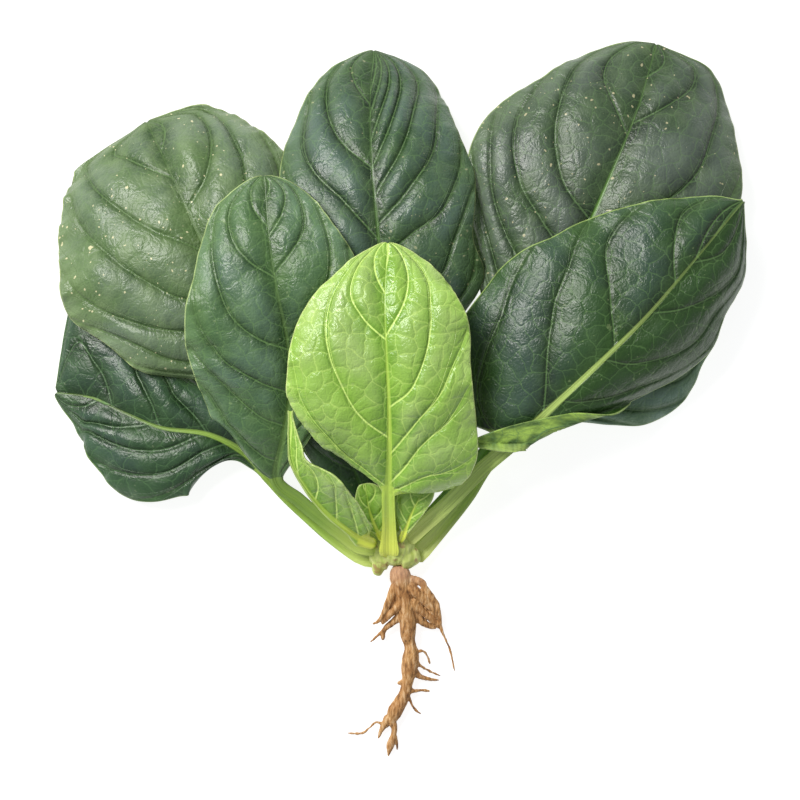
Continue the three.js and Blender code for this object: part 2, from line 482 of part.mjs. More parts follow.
// Rings of equal counts skinned into one closed mesh, with both ends capped by a strip. The second half of
// each ring runs back below the first, and both are split along the same diagonals.
function skin(rings) {
  const count = rings[0].length;
  const positions = new Float32Array(rings.flat().flatMap((p) => [p.x, p.y, p.z]));
  const faces = [];
  for (let i = 0; i < rings.length - 1; i++) {
    for (let k = 0; k < count; k++) {
      const [a, b] = [i * count + k, i * count + ((k + 1) % count)];
      if (k < count / 2) faces.push(a, b, a + count, b, b + count, a + count);
      else faces.push(a, b, b + count, a, b + count, a + count);
    }
  }
  const end = (rings.length - 1) * count;
  for (let k = 0; k < count / 2 - 1; k++) {
    const [top, under] = [k, count - 1 - k];
    faces.push(top, under, top + 1, under, under - 1, top + 1);
    faces.push(end + top, end + top + 1, end + under, end + under, end + top + 1, end + under - 1);
  }
  return new THREE.BufferGeometry()
    .setAttribute("position", new THREE.BufferAttribute(positions, 3))
    .setIndex(faces);
}

// A round root through points that each carry a radius, with its lower side flat where it meets the surface
function rootSolid(points, facets, steps) {
  const curve = new THREE.CatmullRomCurve3(points.map(([x, y, z]) => new THREE.Vector3(x, y, z)));
  const radii = points.map((p) => p[3]);
  const rings = [];
  for (let i = 0; i <= steps; i++) {
    const at = curve.getPoint(i / steps);
    const ahead = curve.getTangent(i / steps);
    const side = ahead.clone().cross(new THREE.Vector3(0, 0, 1)).normalize();
    const up = side.clone().cross(ahead);
    const radius = smoothValue(radii, i / steps);
    const ring = [];
    for (let k = 0; k < facets; k++) {
      const turn = (2 * Math.PI * (k + 0.5)) / facets;
      const offset = side.clone().multiplyScalar(-Math.cos(turn)).addScaledVector(up, Math.sin(turn));
      const point = at.clone().addScaledVector(offset, radius);
      ring.push(point.setZ(Math.max(point.z, SURFACE_Z)));
    }
    rings.push(ring);
  }
  return solidOf(skin(rings));
}

// The crown, turned on a lathe, laid along Y and cut flat where it rests on the surface
function crownSolid(grow = 0) {
  const profile = CROWN.profile.map(([y, r]) => {
    const onAxis = r === 0;
    return new THREE.Vector2(onAxis ? 0 : r + grow, onAxis ? y + Math.sign(y) * grow : y);
  });
  const turned = new THREE.LatheGeometry(profile, CROWN.sides);
  turned.rotateY(Math.PI / CROWN.sides);
  turned.translate(0, 0, CROWN.axisZ);
  const below = new THREE.BoxGeometry(60, 60, 20).translate(0, 0, SURFACE_Z - 10);
  const stub = CROWN.stub.path.map(([x, y, z, r]) => [x, y, z, r + grow]);
  const crown = solidOf(turned).add(rootSolid(stub, CROWN.stub.facets, CROWN.stub.steps));
  return grow ? crown : crown.subtract(solidOf(below));
}

const plant = new THREE.Group();
const crownCutter = crownSolid(MEETING_GAP);

plant.add(meshOf(crownSolid(), "crown", CROWN.colour, 0.6));

const sideRoots = ROOT.sides.map((side) => rootSolid(side, ROOT.sideFacets, ROOT.sideSteps));
const tapRoot = rootSolid(ROOT.tap, ROOT.tapFacets, ROOT.tapSteps);
const root = sideRoots.reduce((whole, side) => whole.add(side), tapRoot);
plant.add(meshOf(largest(root.subtract(crownCutter)), "root", ROOT.colour, 0.9));

// Where stalks crowd together at the crown, a lower one gives way to those above it
LEAVES.forEach((leaf, i) => {
  let solid = solidOf(skin(leafRings(leaf))).subtract(crownCutter);
  for (const above of LEAVES.slice(i + 1)) {
    solid = solid.subtract(solidOf(skin(leafRings(above, MEETING_GAP, true))));
  }
  plant.add(meshOf(largest(solid), leaf.name, leaf.colour, 0.45));
});

export default plant;
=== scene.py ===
import math

import bpy
import numpy as np
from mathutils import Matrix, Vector, noise


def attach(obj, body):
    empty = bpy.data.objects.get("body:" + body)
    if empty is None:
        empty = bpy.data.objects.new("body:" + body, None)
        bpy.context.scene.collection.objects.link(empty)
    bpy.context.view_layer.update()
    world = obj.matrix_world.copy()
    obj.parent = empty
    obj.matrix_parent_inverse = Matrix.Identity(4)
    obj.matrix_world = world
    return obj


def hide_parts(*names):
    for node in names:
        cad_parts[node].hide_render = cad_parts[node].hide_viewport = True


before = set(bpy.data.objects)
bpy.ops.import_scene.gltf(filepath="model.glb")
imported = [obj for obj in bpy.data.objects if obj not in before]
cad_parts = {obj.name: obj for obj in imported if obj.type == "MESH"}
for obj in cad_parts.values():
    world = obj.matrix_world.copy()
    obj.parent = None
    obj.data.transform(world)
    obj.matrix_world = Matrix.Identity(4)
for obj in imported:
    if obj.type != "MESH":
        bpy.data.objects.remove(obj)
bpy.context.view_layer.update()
scene = bpy.context.scene
MM = 0.001


# The camera
# It looks straight down from far enough that the height of a leaf hardly changes its size.

bpy.ops.object.camera_add(location=(0.002, 0.064, 2.4), rotation=(0, 0, 0))
camera = bpy.context.object
camera.name = "camera"
camera.data.sensor_width = 36
camera.data.lens = 270
camera.data.clip_end = 20
scene.camera = camera
scene.view_settings.view_transform = "Standard"


# The surface under the plant and the light
# A plain white light table, one large soft lamp up and to the left, and a pale room around.

def linear(code):
    """A screen colour such as #40602a as the linear colour that shaders take."""
    parts = [int(code[i:i + 2], 16) / 255 for i in (1, 3, 5)]
    return [p / 12.92 if p <= 0.04045 else ((p + 0.055) / 1.055) ** 2.4 for p in parts] + [1.0]


def add(tree, kind, inputs=None, **settings):
    """Adds a node; an input is a number, a colour or the output of another node."""
    made = tree.nodes.new(kind)
    for key, value in settings.items():
        setattr(made, key, value)
    for key, value in (inputs or {}).items():
        if isinstance(value, bpy.types.NodeSocket):
            tree.links.new(value, made.inputs[key])
        else:
            made.inputs[key].default_value = value
    return made


def skin(name):
    """A new material with its shader; returns material, tree and shader."""
    material = bpy.data.materials.new(name)
    material.use_nodes = True
    tree = material.node_tree
    tree.nodes.clear()
    shader = add(tree, "ShaderNodeBsdfPrincipled")
    add(tree, "ShaderNodeOutputMaterial", {"Surface": shader.outputs[0]})
    return material, tree, shader


bpy.ops.mesh.primitive_plane_add(size=4, location=(0, 0, -0.0005))
floor = bpy.context.object
floor.name = "surface"
material, tree, shader = skin("white_surface")
shader.inputs["Base Color"].default_value = (0.3, 0.3, 0.3, 1)
shader.inputs["Roughness"].default_value = 0.9
shader.inputs["Emission Color"].default_value = (1, 1, 1, 1)
shader.inputs["Emission Strength"].default_value = 0.86
floor.data.materials.append(material)

bpy.ops.object.light_add(type="AREA", location=(-0.9, 0.9, 1.5))
lamp = bpy.context.object
lamp.name = "soft_lamp"
lamp.data.shape = "RECTANGLE"
lamp.data.size = 0.9
lamp.data.size_y = 0.9
lamp.data.energy = 50
lamp.data.color = (1.0, 0.985, 0.95)
lamp.rotation_euler = (Vector((0, 0.07, 0)) - lamp.location).to_track_quat("-Z", "Y").to_euler()

world = bpy.data.worlds.new("room")
world.use_nodes = True
world.node_tree.nodes["Background"].inputs["Color"].default_value = (0.93, 0.97, 1.0, 1)
world.node_tree.nodes["Background"].inputs["Strength"].default_value = 0.45
scene.world = world


# The lowest leaf on the left
# A full-grown leaf: a firm ribbed stalk that runs on as the midrib, and a broad thin blade that swells
# between its side veins and waves along its margin. It lies on the surface under the other leaves.

BLADE = 0.6
MARGIN_AHEAD = 0.6
BEND = 3.5


def read(values, x):
    """A smooth value read from evenly spaced ones, for x from 0 to 1."""
    values = np.asarray(values, float)
    last = len(values) - 1
    i = np.minimum((x * last).astype(int), last - 1)
    t = x * last - i
    extended = np.concatenate([[2 * values[0] - values[1]], values, [2 * values[-1] - values[-2]]])
    before, a, b, after = extended[i], extended[i + 1], extended[i + 2], extended[i + 3]
    m0, m1 = (b - before) / 2, (after - a) / 2
    return a + t * (m0 + t * (3 * (b - a) - 2 * m0 - m1 + t * (2 * (a - b) + m0 + m1)))


def along(points, steps=600):
    """Points and directions at even distances on the smooth line through the given points."""
    points = np.asarray(points, float)
    ends = np.vstack([2 * points[0] - points[1], points, 2 * points[-1] - points[-2]])
    x = np.linspace(0, len(points) - 1, steps)
    i = np.minimum(x.astype(int), len(points) - 2)
    t = (x - i)[:, None]
    p0, p1, p2, p3 = ends[i], ends[i + 1], ends[i + 2], ends[i + 3]
    m1, m2 = (p2 - p0) / 2, (p3 - p1) / 2
    line = p1 + t * (m1 + t * (3 * (p2 - p1) - 2 * m1 - m2 + t * (2 * (p1 - p2) + m1 + m2)))
    reach = np.concatenate([[0], np.cumsum(np.linalg.norm(np.diff(line, axis=0), axis=1))])
    even = np.linspace(0, reach[-1], steps)
    line = np.stack([np.interp(even, reach, line[:, k]) for k in range(3)], axis=1)
    heading = np.gradient(line, axis=0)
    smooth = np.ones(9) / 9
    heading = np.stack([np.convolve(np.pad(heading[:, k], 4, "edge"), smooth, "valid") for k in range(3)], axis=1)
    return line, heading / np.linalg.norm(heading, axis=1)[:, None], even


def ease(x):
    x = np.clip(x, 0, 1)
    return x * x * (3 - 2 * x)


def ripple(x, y, size, seed):
    """Soft noise from -1 to 1 over a surface, with lumps of the given size in millimetres."""
    flat = np.stack([x.ravel() / size, y.ravel() / size], axis=1)
    values = [noise.noise((a, b, seed * 7.3)) for a, b in flat]
    return np.array(values).reshape(x.shape)


def leaf(name, node, material, rib, stalk, left, right, fold, curl, wave, veins, swell, seed,
         lobes=(0, 0), roll=None, lumps=1, rows=(34, 150), columns=(7, 52), tip_rib=0.5):
    """One leaf: stalk, midrib and blade in one closed mesh.

    stalk: length, half width, depth, flare. wave: height, count, phase. veins: for each half, where each
    vein is at the midrib, a third and two thirds out, and at the margin. roll: the part of the blade whose
    right margin is turned over, where it turns, its angle, and how far it slants back.
    """
    stalk_length, stalk_half, stalk_depth, flare_by = stalk
    line, heading, reach = along(rib)
    blade_length = reach[-1] - stalk_length

    bpy.ops.object.select_all(action="DESELECT")
    wide = 2 * sum(columns)
    bpy.ops.mesh.primitive_grid_add(x_subdivisions=wide, y_subdivisions=sum(rows), size=2, location=(0, 0, 0))
    piece = bpy.context.object
    piece.name = name
    mesh = piece.data
    mesh.name = name
    co = np.empty(len(mesh.vertices) * 3)
    mesh.vertices.foreach_get("co", co)
    co = co.reshape(-1, 3)
    column = co[:, 0] * sum(columns)
    row = (co[:, 1] + 1) / 2 * sum(rows)

    side = column > 0
    on_rib = np.minimum(np.abs(column), columns[0]) / columns[0]
    beside = np.maximum(0, np.abs(column) - columns[0]) / columns[1]
    on_stalk = row < rows[0]
    stalk_at = (1 - (1 - np.minimum(row / rows[0], 1)) ** 1.8) * stalk_length
    theta = np.maximum(0, row - rows[0]) / rows[1]
    margin = np.sin(theta * math.pi / 2)
    flare = 1 + flare_by * np.exp(-stalk_at / 8)
    tapered = np.maximum(0.2, np.sqrt(1 - (1 - np.minimum(1, stalk_at / 5)) ** 2))
    rib_half = (stalk_half + (tip_rib - stalk_half) * np.sqrt(margin)) * flare * tapered
    opened = np.clip((stalk_at - stalk_length + 5) / 5, 0, 1) ** 2
    blade_width = np.maximum(np.where(side, read(right, theta), read(left, theta)), rib_half)
    width = np.maximum(rib_half + (blade_width - rib_half) * opened, rib_half * 1.02)
    share = np.minimum(0.6, rib_half / width)
    t = share * on_rib + (1 - share) * beside
    distance = t * width
    ahead = np.where(on_stalk, 0, MARGIN_AHEAD * (1 - t) * width / (width + margin * blade_length))
    s = margin * (1 - ahead)
    lobe = np.where(side, lobes[1], lobes[0]) * (1 - ease(theta / 0.15)) * ease((stalk_at - stalk_length + 9) / 4)
    at = np.where(on_stalk, stalk_at, stalk_length + s * blade_length) - lobe * distance
    turn_at = np.full(len(row), 1e6)
    if roll:
        until, turn_from, roll_angle, slant = roll
        here = side & (theta < until) & (opened > 0)
        share = np.minimum(theta / until, 1)
        turn_at = np.where(here, read(turn_from, share), turn_at)
        roll_angle = math.radians(roll_angle) * (1 - ease((share - 0.5) / 0.5))
        at -= np.where(here, read(slant, share) * np.maximum(0, distance - turn_at - BEND), 0)
    at = np.maximum(at, 0)

    here = np.stack([np.interp(at, reach, line[:, k]) for k in range(3)], axis=1)
    forward = np.stack([np.interp(at, reach, heading[:, k]) for k in range(3)], axis=1)
    across = np.cross(forward, [0, 0, 1])
    across /= np.linalg.norm(across, axis=1)[:, None]
    out = np.cross(across, forward)
    first = np.radians(np.where(side, fold[1], fold[0]))
    more = np.radians(np.where(side, curl[1], curl[0]))
    run, rise, steps = np.zeros(len(row)), np.zeros(len(row)), 60
    for i in range(steps):
        x = (i + 0.5) / steps * distance
        angle = first + more * x / width
        if roll:
            angle = angle + (roll_angle - angle) * ease((x - turn_at) / BEND)
        angle = first / 2 + (angle - first / 2) * opened ** 0.25
        run += np.cos(angle) * distance / steps
        rise += np.sin(angle) * distance / steps
    flat = 1 - ease((distance - turn_at) / BEND)

    sign = np.where(side, 1.0, -1.0)
    u, v = at - stalk_length, sign * distance
    count = np.zeros(len(u))
    for half, tables in ((False, veins[0]), (True, veins[1])):
        places = np.stack([read(table, np.clip(t, 0, 1)) for table in tables])
        k = np.clip((places <= s).sum(axis=0) - 1, 0, len(tables) - 2)
        low, high = np.take_along_axis(places, k[None], 0)[0], np.take_along_axis(places, k[None] + 1, 0)[0]
        count = np.where(side == half, k + (s - low) / (high - low), count)
    count = count + 0.07 * ripple(u, v, 22, seed) * np.minimum(1, distance / 10)
    off_rib = 1 - np.exp(-(distance / 5) ** 2)
    off_tip = np.minimum(1, (1 - s) * 6)
    uneven = 1 + 0.35 * ripple(u, v + 300 * sign, 30, seed + 5)
    bulge = np.abs(np.sin(math.pi * count)) ** 0.8
    lift = swell * bulge * off_rib * (1 - t ** 4) * off_tip * uneven
    lift += lumps * (0.38 * ripple(u, v, 8, seed + 9) + 0.16 * ripple(u, v, 3.6, seed + 17)) * off_rib
    lift += lumps * 1.7 * ripple(u, v, 21, seed + 3) * off_rib * ease(distance / 9)
    turn = wave[1] * s + wave[2] + np.where(side, 0.35, 0)
    waving = wave[0] * np.minimum(1, width / 20)
    lift += waving * np.sin(2 * math.pi * turn) * t ** 3
    lift += 0.45 * waving * np.sin(2 * math.pi * (2.7 * turn + 0.2)) * t ** 6
    lift += 0.22 * waving * np.sin(2 * math.pi * (7.1 * turn + 0.6)) * t ** 14
    rise = rise + lift * opened * flat
    rise = rise - 0.35 * (1 - on_rib ** 2) * np.minimum(1, rib_half / stalk_half)
    rise = rise - (1 - tapered) * stalk_depth * 0.6
    points = here + across * (sign * run)[:, None] + out * rise[:, None]
    below = np.sqrt(np.maximum(0, 1 - (distance / rib_half) ** 2))
    deep = stalk_depth - BLADE + (0.45 - stalk_depth + BLADE) * np.sqrt(np.where(on_stalk, 0, s))
    depth = BLADE + deep * below * tapered

    # How many millimetres lie between a vein and the next, from how fast the count changes on the surface
    order = np.lexsort((column, row))
    shape = (sum(rows) + 1, wide + 1) if len(row) == (sum(rows) + 1) * (wide + 1) else (sum(rows), wide)
    grid_count, grid_points = count[order].reshape(shape), points[order].reshape(*shape, 3)
    down, over = np.gradient(grid_count)
    step_down, step_over = np.gradient(grid_points, axis=(0, 1))
    g11, g12, g22 = [(a * b).sum(-1) for a, b in ((step_down, step_down), (step_down, step_over),
                                                  (step_over, step_over))]
    slope = (g22 * down ** 2 - 2 * g12 * down * over + g11 * over ** 2) / np.maximum(g11 * g22 - g12 ** 2, 1e-9)
    gap = np.empty(len(row))
    gap[order] = np.clip(1 / np.sqrt(np.maximum(slope, 1e-6)), 1, 60).ravel()

    mesh.vertices.foreach_set("co", (points * MM).ravel())
    mesh.update()
    # high marks the tops of the swellings, where the skin paints its sheen
    facts = {"veins": count + 20, "gap": gap, "edge": (1 - t) * width, "rib": distance / rib_half,
             "stalk_at": at, "out": t, "along": np.where(on_stalk, 0, s), "high": bulge * off_rib * flat, "half": side.astype(float),
             "blade": np.where(on_stalk, opened * ease(distance / rib_half - 0.8), 1.0)}
    for key, values in facts.items():
        mesh.attributes.new(key, "FLOAT", "POINT").data.foreach_set("value", values.astype(np.float32))
    place = mesh.uv_layers.active or mesh.uv_layers.new()
    place.name = "leaf"
    corner = np.empty(len(mesh.loops), int)
    mesh.loops.foreach_get("vertex_index", corner)
    place.data.foreach_set("uv", np.stack([u[corner], v[corner]], axis=1).ravel())

    group = piece.vertex_groups.new(name="depth")
    most = depth.max()
    for i, d in enumerate(depth / most):
        group.add([i], float(d), "REPLACE")
    solid = piece.modifiers.new("thick", "SOLIDIFY")
    solid.thickness = most * MM
    solid.offset = -1
    solid.vertex_group = "depth"
    solid.use_even_offset = False
    bpy.ops.object.modifier_apply(modifier="thick")
    piece.vertex_groups.clear()

    # What lies on the surface is held up by it, both faces alike
    co = np.empty(len(mesh.vertices) * 3)
    mesh.vertices.foreach_get("co", co)
    co = co.reshape(-1, 3)
    half = len(co) // 2
    held = np.maximum(0, 0.0001 - np.minimum(co[:half, 2], co[half:, 2]))
    co[:half, 2] += held
    co[half:, 2] += held
    mesh.vertices.foreach_set("co", co.ravel())
    under = np.repeat([0.0, 1.0], half).astype(np.float32)
    mesh.attributes.new("under", "FLOAT", "POINT").data.foreach_set("value", under)
    mesh.update()
    bpy.ops.object.shade_smooth()
    mesh.materials.append(material)
    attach(piece, "root")
    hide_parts(node)
    return piece


def leaf_skin(name, deep, mid, bloom_and_sheen, light, vein, rim, stem, stem_base, freckle, under, bloom_and_sheen_by=0.4,
              freckles=0.5, net=0.3, gloss=0.36, groove_shade_by=0.6, vein_by=0.45, rib_by=0.8, relief=0.11, shaded_half_by=0.0,
              shade_seed=0.0):
    """Leaf surface: deep green with a blue-grey bloom on the swellings, partly waxy bloom and partly painted sheen,
    painted shade in grooves along fine veins, a pale rim.

    The underside is paler and duller. The stalk and the midrib are striped lengthways.
    """
    material, tree, shader = skin(name)

    def fact(key):
        return add(tree, "ShaderNodeAttribute", attribute_name=key).outputs["Fac"]

    def math_of(kind, a, b=0.0, c=0.0, clamp=False):
        return add(tree, "ShaderNodeMath", {0: a, 1: b, 2: c}, operation=kind, use_clamp=clamp).outputs[0]

    def fade(value, start, end, low=0.0, high=1.0):
        return add(tree, "ShaderNodeMapRange", {"Value": value, "From Min": start, "From Max": end,
                                                "To Min": low, "To Max": high},
                   interpolation_type="SMOOTHSTEP").outputs[0]

    def blend(share, a, b):
        made = add(tree, "ShaderNodeMix", {"Factor": share}, data_type="RGBA")
        for socket, value in ((made.inputs[6], a), (made.inputs[7], b)):
            if isinstance(value, bpy.types.NodeSocket):
                tree.links.new(value, socket)
            else:
                socket.default_value = linear(value)
        return made.outputs[2]

    place = add(tree, "ShaderNodeUVMap", uv_map="leaf").outputs[0]
    moved = add(tree, "ShaderNodeMapping", {"Vector": place, "Location": (shade_seed, shade_seed, 0)}).outputs[0]

    # Clouds of colour 30 mm across, patches of 8 mm, and a grain of half a millimetre
    clouds = add(tree, "ShaderNodeTexNoise", {"Vector": moved, "Scale": 1 / 30, "Detail": 3}).outputs["Fac"]
    patches = add(tree, "ShaderNodeTexNoise", {"Vector": moved, "Scale": 1 / 8, "Detail": 4}).outputs["Fac"]
    fine = add(tree, "ShaderNodeTexNoise", {"Vector": moved, "Scale": 1 / 0.9, "Detail": 4}).outputs["Fac"]

    # Side veins: a fine bright line with painted shade in the groove along it, and two forks of each towards the
    # margin
    part = math_of("FRACT", fact("veins"))
    gap = fact("gap")
    out = fact("out")
    near = math_of("MULTIPLY", math_of("MINIMUM", part, math_of("SUBTRACT", 1.0, part)), gap)
    side_width = fade(out, 0.0, 1.0, 0.5, 0.2)
    side_vein = math_of("SUBTRACT", 1.0, fade(math_of("DIVIDE", near, side_width), 0.4, 1.0))
    # Painted shade in the groove beside each side vein, strongest within a millimetre of it and gone by 2.6 mm
    groove_shade = math_of("MULTIPLY_ADD", fade(near, 2.6, 0.3), 0.4, math_of("MULTIPLY", fade(near, 1.1, 0.3), 0.6))
    groove_shade = math_of("MULTIPLY", groove_shade, fade(out, 1.0, 0.6, 0.15, 1.0))
    forks = []
    for start, reach in ((0.35, 0.36), (0.55, -0.26)):
        opening = fade(out, start, 1.15, 0.0, reach)
        where = part if reach > 0 else math_of("SUBTRACT", part, 1.0)
        off = math_of("MULTIPLY", math_of("ABSOLUTE", math_of("SUBTRACT", where, opening)), gap)
        line = math_of("SUBTRACT", 1.0, fade(math_of("DIVIDE", off, side_width), 0.3, 0.9))
        forks.append(math_of("MULTIPLY", line, fade(out, start, start + 0.05)))
    fork = math_of("MAXIMUM", forks[0], forks[1])

    # Faint cross veins some 5 mm apart that join the side veins, and a finer net in between
    wobble = add(tree, "ShaderNodeTexNoise", {"Vector": moved, "Scale": 1 / 6, "Detail": 2}).outputs["Color"]
    bent = add(tree, "ShaderNodeVectorMath", {0: wobble, "Scale": 4.0}, operation="SCALE").outputs[0]
    bent = add(tree, "ShaderNodeVectorMath", {0: moved, 1: bent}, operation="ADD").outputs[0]
    cells = add(tree, "ShaderNodeTexVoronoi", {"Vector": bent, "Scale": 1 / 6.5, "Randomness": 1.0},
                feature="DISTANCE_TO_EDGE", voronoi_dimensions="2D").outputs["Distance"]
    small = add(tree, "ShaderNodeTexVoronoi", {"Vector": bent, "Scale": 1 / 1.9, "Randomness": 1.0},
                feature="DISTANCE_TO_EDGE", voronoi_dimensions="2D").outputs["Distance"]
    cell_vein = math_of("SUBTRACT", 1.0, fade(cells, 0.01, 0.05))
    small_vein = math_of("SUBTRACT", 1.0, fade(small, 0.02, 0.14))

    # Colour of the upper face
    edge = fact("edge")
    blade = blend(fade(clouds, 0.35, 0.65), deep, mid)
    blade = blend(math_of("MULTIPLY", fade(patches, 0.4, 0.7), 0.35), blade, light)
    blade = blend(math_of("MULTIPLY", fade(edge, 11.0, 0.5), 0.5), blade, light)
    # Painted shade: on the half that slopes away from the lamp the blade turns to its plain mid green and loses the
    # painted sheen
    shaded_half = math_of("MULTIPLY", fact("half"), shaded_half_by)
    blade = blend(shaded_half, blade, mid)
    # Painted sheen: a blue-grey colour on the tops of the swellings, partly the leaf's waxy bloom and partly a painted
    # reflection of the lamp and room
    wax_and_sheen = math_of("MULTIPLY", fact("high"), fade(clouds, 0.62, 0.38, 0.35, 1.0))
    wax_and_sheen = math_of("MULTIPLY", wax_and_sheen, math_of("SUBTRACT", 1.0, shaded_half))
    blade = blend(math_of("MULTIPLY", wax_and_sheen, bloom_and_sheen_by), blade, bloom_and_sheen)
    # Painted shade: the blade is darkened towards its deepest green along each side vein
    blade = blend(math_of("MULTIPLY", groove_shade, groove_shade_by), blade, deep)
    grain = fade(fine, 0.48, 0.78)
    blade = blend(math_of("MULTIPLY", grain, 0.22), blade, light)
    blade = blend(math_of("MULTIPLY", small_vein, net * 0.5), blade, light)
    blade = blend(math_of("MULTIPLY", cell_vein, net), blade, vein)
    lines = math_of("MAXIMUM", math_of("MULTIPLY", side_vein, vein_by), math_of("MULTIPLY", fork, vein_by * 0.6))
    blade = blend(math_of("MULTIPLY", lines, fade(out, 1.0, 0.6, 0.4, 1.0)), blade, vein)

    # Cream freckles of uneven size, most of them under 1 mm, gathered in loose patches
    for spread, least, most in ((2.4, 0.80, 0.19), (8.0, 0.84, 0.09)):
        dots = add(tree, "ShaderNodeTexVoronoi", {"Vector": bent, "Scale": 1 / spread, "Randomness": 1.0},
                   voronoi_dimensions="2D")
        size = add(tree, "ShaderNodeSeparateColor", {0: dots.outputs["Color"]}).outputs[0]
        limit = math_of("MULTIPLY", fade(size, least, 1.0, 0.0, most), fade(clouds, 0.4, 0.6, 0.3, 1.2))
        ragged = math_of("MULTIPLY_ADD", math_of("SUBTRACT", fine, 0.5), 0.10, dots.outputs["Distance"])
        dot = math_of("SUBTRACT", 1.0, fade(math_of("DIVIDE", ragged, math_of("MAXIMUM", limit, 0.001)), 0.75, 1.1))
        blade = blend(math_of("MULTIPLY", dot, freckles), blade, freckle)
    blade = blend(math_of("MULTIPLY", fade(edge, 0.6, 0.2), 0.8), blade, rim)

    # The underside: pale and dull, with every vein standing out lighter
    below = blend(fade(patches, 0.35, 0.65), under, light)
    below = blend(math_of("MULTIPLY", small_vein, 0.25), below, vein)
    below = blend(math_of("MAXIMUM", side_vein, math_of("MULTIPLY", cell_vein, 0.5)), below, vein)
    is_under = fade(fact("under"), 0.45, 0.55)
    blade = blend(is_under, blade, below)

    # Midrib and stalk: paler stripes lengthways, yellower towards the crown
    stripes = add(tree, "ShaderNodeMapping", {"Vector": moved, "Scale": (0.025, 1.3, 1)}).outputs[0]
    stripe = add(tree, "ShaderNodeTexNoise", {"Vector": stripes, "Scale": 1.0, "Detail": 3}).outputs["Fac"]
    flesh = blend(math_of("MULTIPLY", fade(stripe, 0.4, 0.65), 0.35), stem, light)
    flesh = blend(fade(fact("stalk_at"), 30.0, 4.0), flesh, stem_base)
    rib_line = fade(fact("rib"), 1.15, 0.75)
    on_stalk = math_of("SUBTRACT", 1.0, fact("blade"))
    shown = math_of("MULTIPLY", fade(fact("rib"), 0.95, 0.45), fade(fact("along"), 0.2, 0.8, rib_by, rib_by * 0.2))
    colour = blend(math_of("MAXIMUM", shown, on_stalk), blade, flesh)
    tree.links.new(colour, shader.inputs["Base Color"])

    # Relief in millimetres: faint cells between the veins, a fine grain, and veins pressed in
    puff = math_of("MULTIPLY", fade(cells, 0.0, 0.25), relief)
    puff = math_of("MULTIPLY_ADD", fade(small, 0.0, 0.3), 0.05, puff)
    puff = math_of("MULTIPLY_ADD", fine, 0.16, puff)
    puff = math_of("MULTIPLY_ADD", math_of("SUBTRACT", 1.0, fade(near, 0.0, 1.6)), -0.28, puff)
    puff = math_of("MULTIPLY_ADD", fork, -0.10, puff)
    puff = math_of("MULTIPLY", puff, math_of("MULTIPLY_ADD", is_under, -1.7, 1.0))
    puff = math_of("MULTIPLY", puff, math_of("SUBTRACT", 1.0, rib_line))
    height = math_of("MULTIPLY_ADD", math_of("MULTIPLY", stripe, rib_line), 0.4, puff)
    bump = add(tree, "ShaderNodeBump", {"Height": height, "Distance": MM, "Strength": 1.0})
    tree.links.new(bump.outputs[0], shader.inputs["Normal"])
    rough = fade(patches, 0.3, 0.7, gloss - 0.06, gloss + 0.08)
    rough = math_of("MULTIPLY_ADD", is_under, 0.2, rough)
    tree.links.new(rough, shader.inputs["Roughness"])
    shader.inputs["IOR"].default_value = 1.45
    return material


low_skin = leaf_skin("low_leaf", deep="#10220d", mid="#203a1b", bloom_and_sheen="#4f6a5e", light="#3c5b32", vein="#54764a",
                     rim="#7d9a55", stem="#9aba52", stem_base="#c2d274", freckle="#8f9a78", under="#8fa662",
                     bloom_and_sheen_by=0.35, freckles=0.2)
leaf("low_left_spinach_leaf", "leaf_low_left", low_skin,
     rib=[(-5, 0.5, 5.4), (-14, 1.8, 5), (-25, 9.4, 5), (-34.5, 17.8, 5.2), (-43, 25.8, 6.2), (-51.5, 35, 8),
          (-61.5, 44, 11), (-75, 50.5, 14),
          (-93, 53, 14), (-108, 59, 10.5), (-121, 65, 6.5), (-136, 67, 2.2)],
     stalk=(64, 2.6, 4.2, 0.7),
     left=[3, 7, 24.5, 28, 32.5, 30, 24.5, 19.5, 17.5, 11.5, 7, 3, 1],
     right=[3, 14, 20, 24, 26, 28, 30, 32.5, 38.5, 42, 42.5, 39.5, 2],
     fold=(14, 14), curl=(-50, -40), wave=(1.6, 2.5, 0.4),
     veins=([[0.16, 0.3, 0.52, 0.75], [0.27, 0.5, 0.75, 1], [0.53, 0.68, 0.88, 1.15]],
            [[0.05, 0.15, 0.26, 0.42], [0.27, 0.36, 0.5, 0.72], [0.48, 0.57, 0.75, 1.1],
             [0.72, 0.84, 0.97, 1.3]]), swell=1.6, seed=2)


# The lowest leaf on the right
# Like the one on the left. Little more than its lower edge shows past the leaf that lies on it.

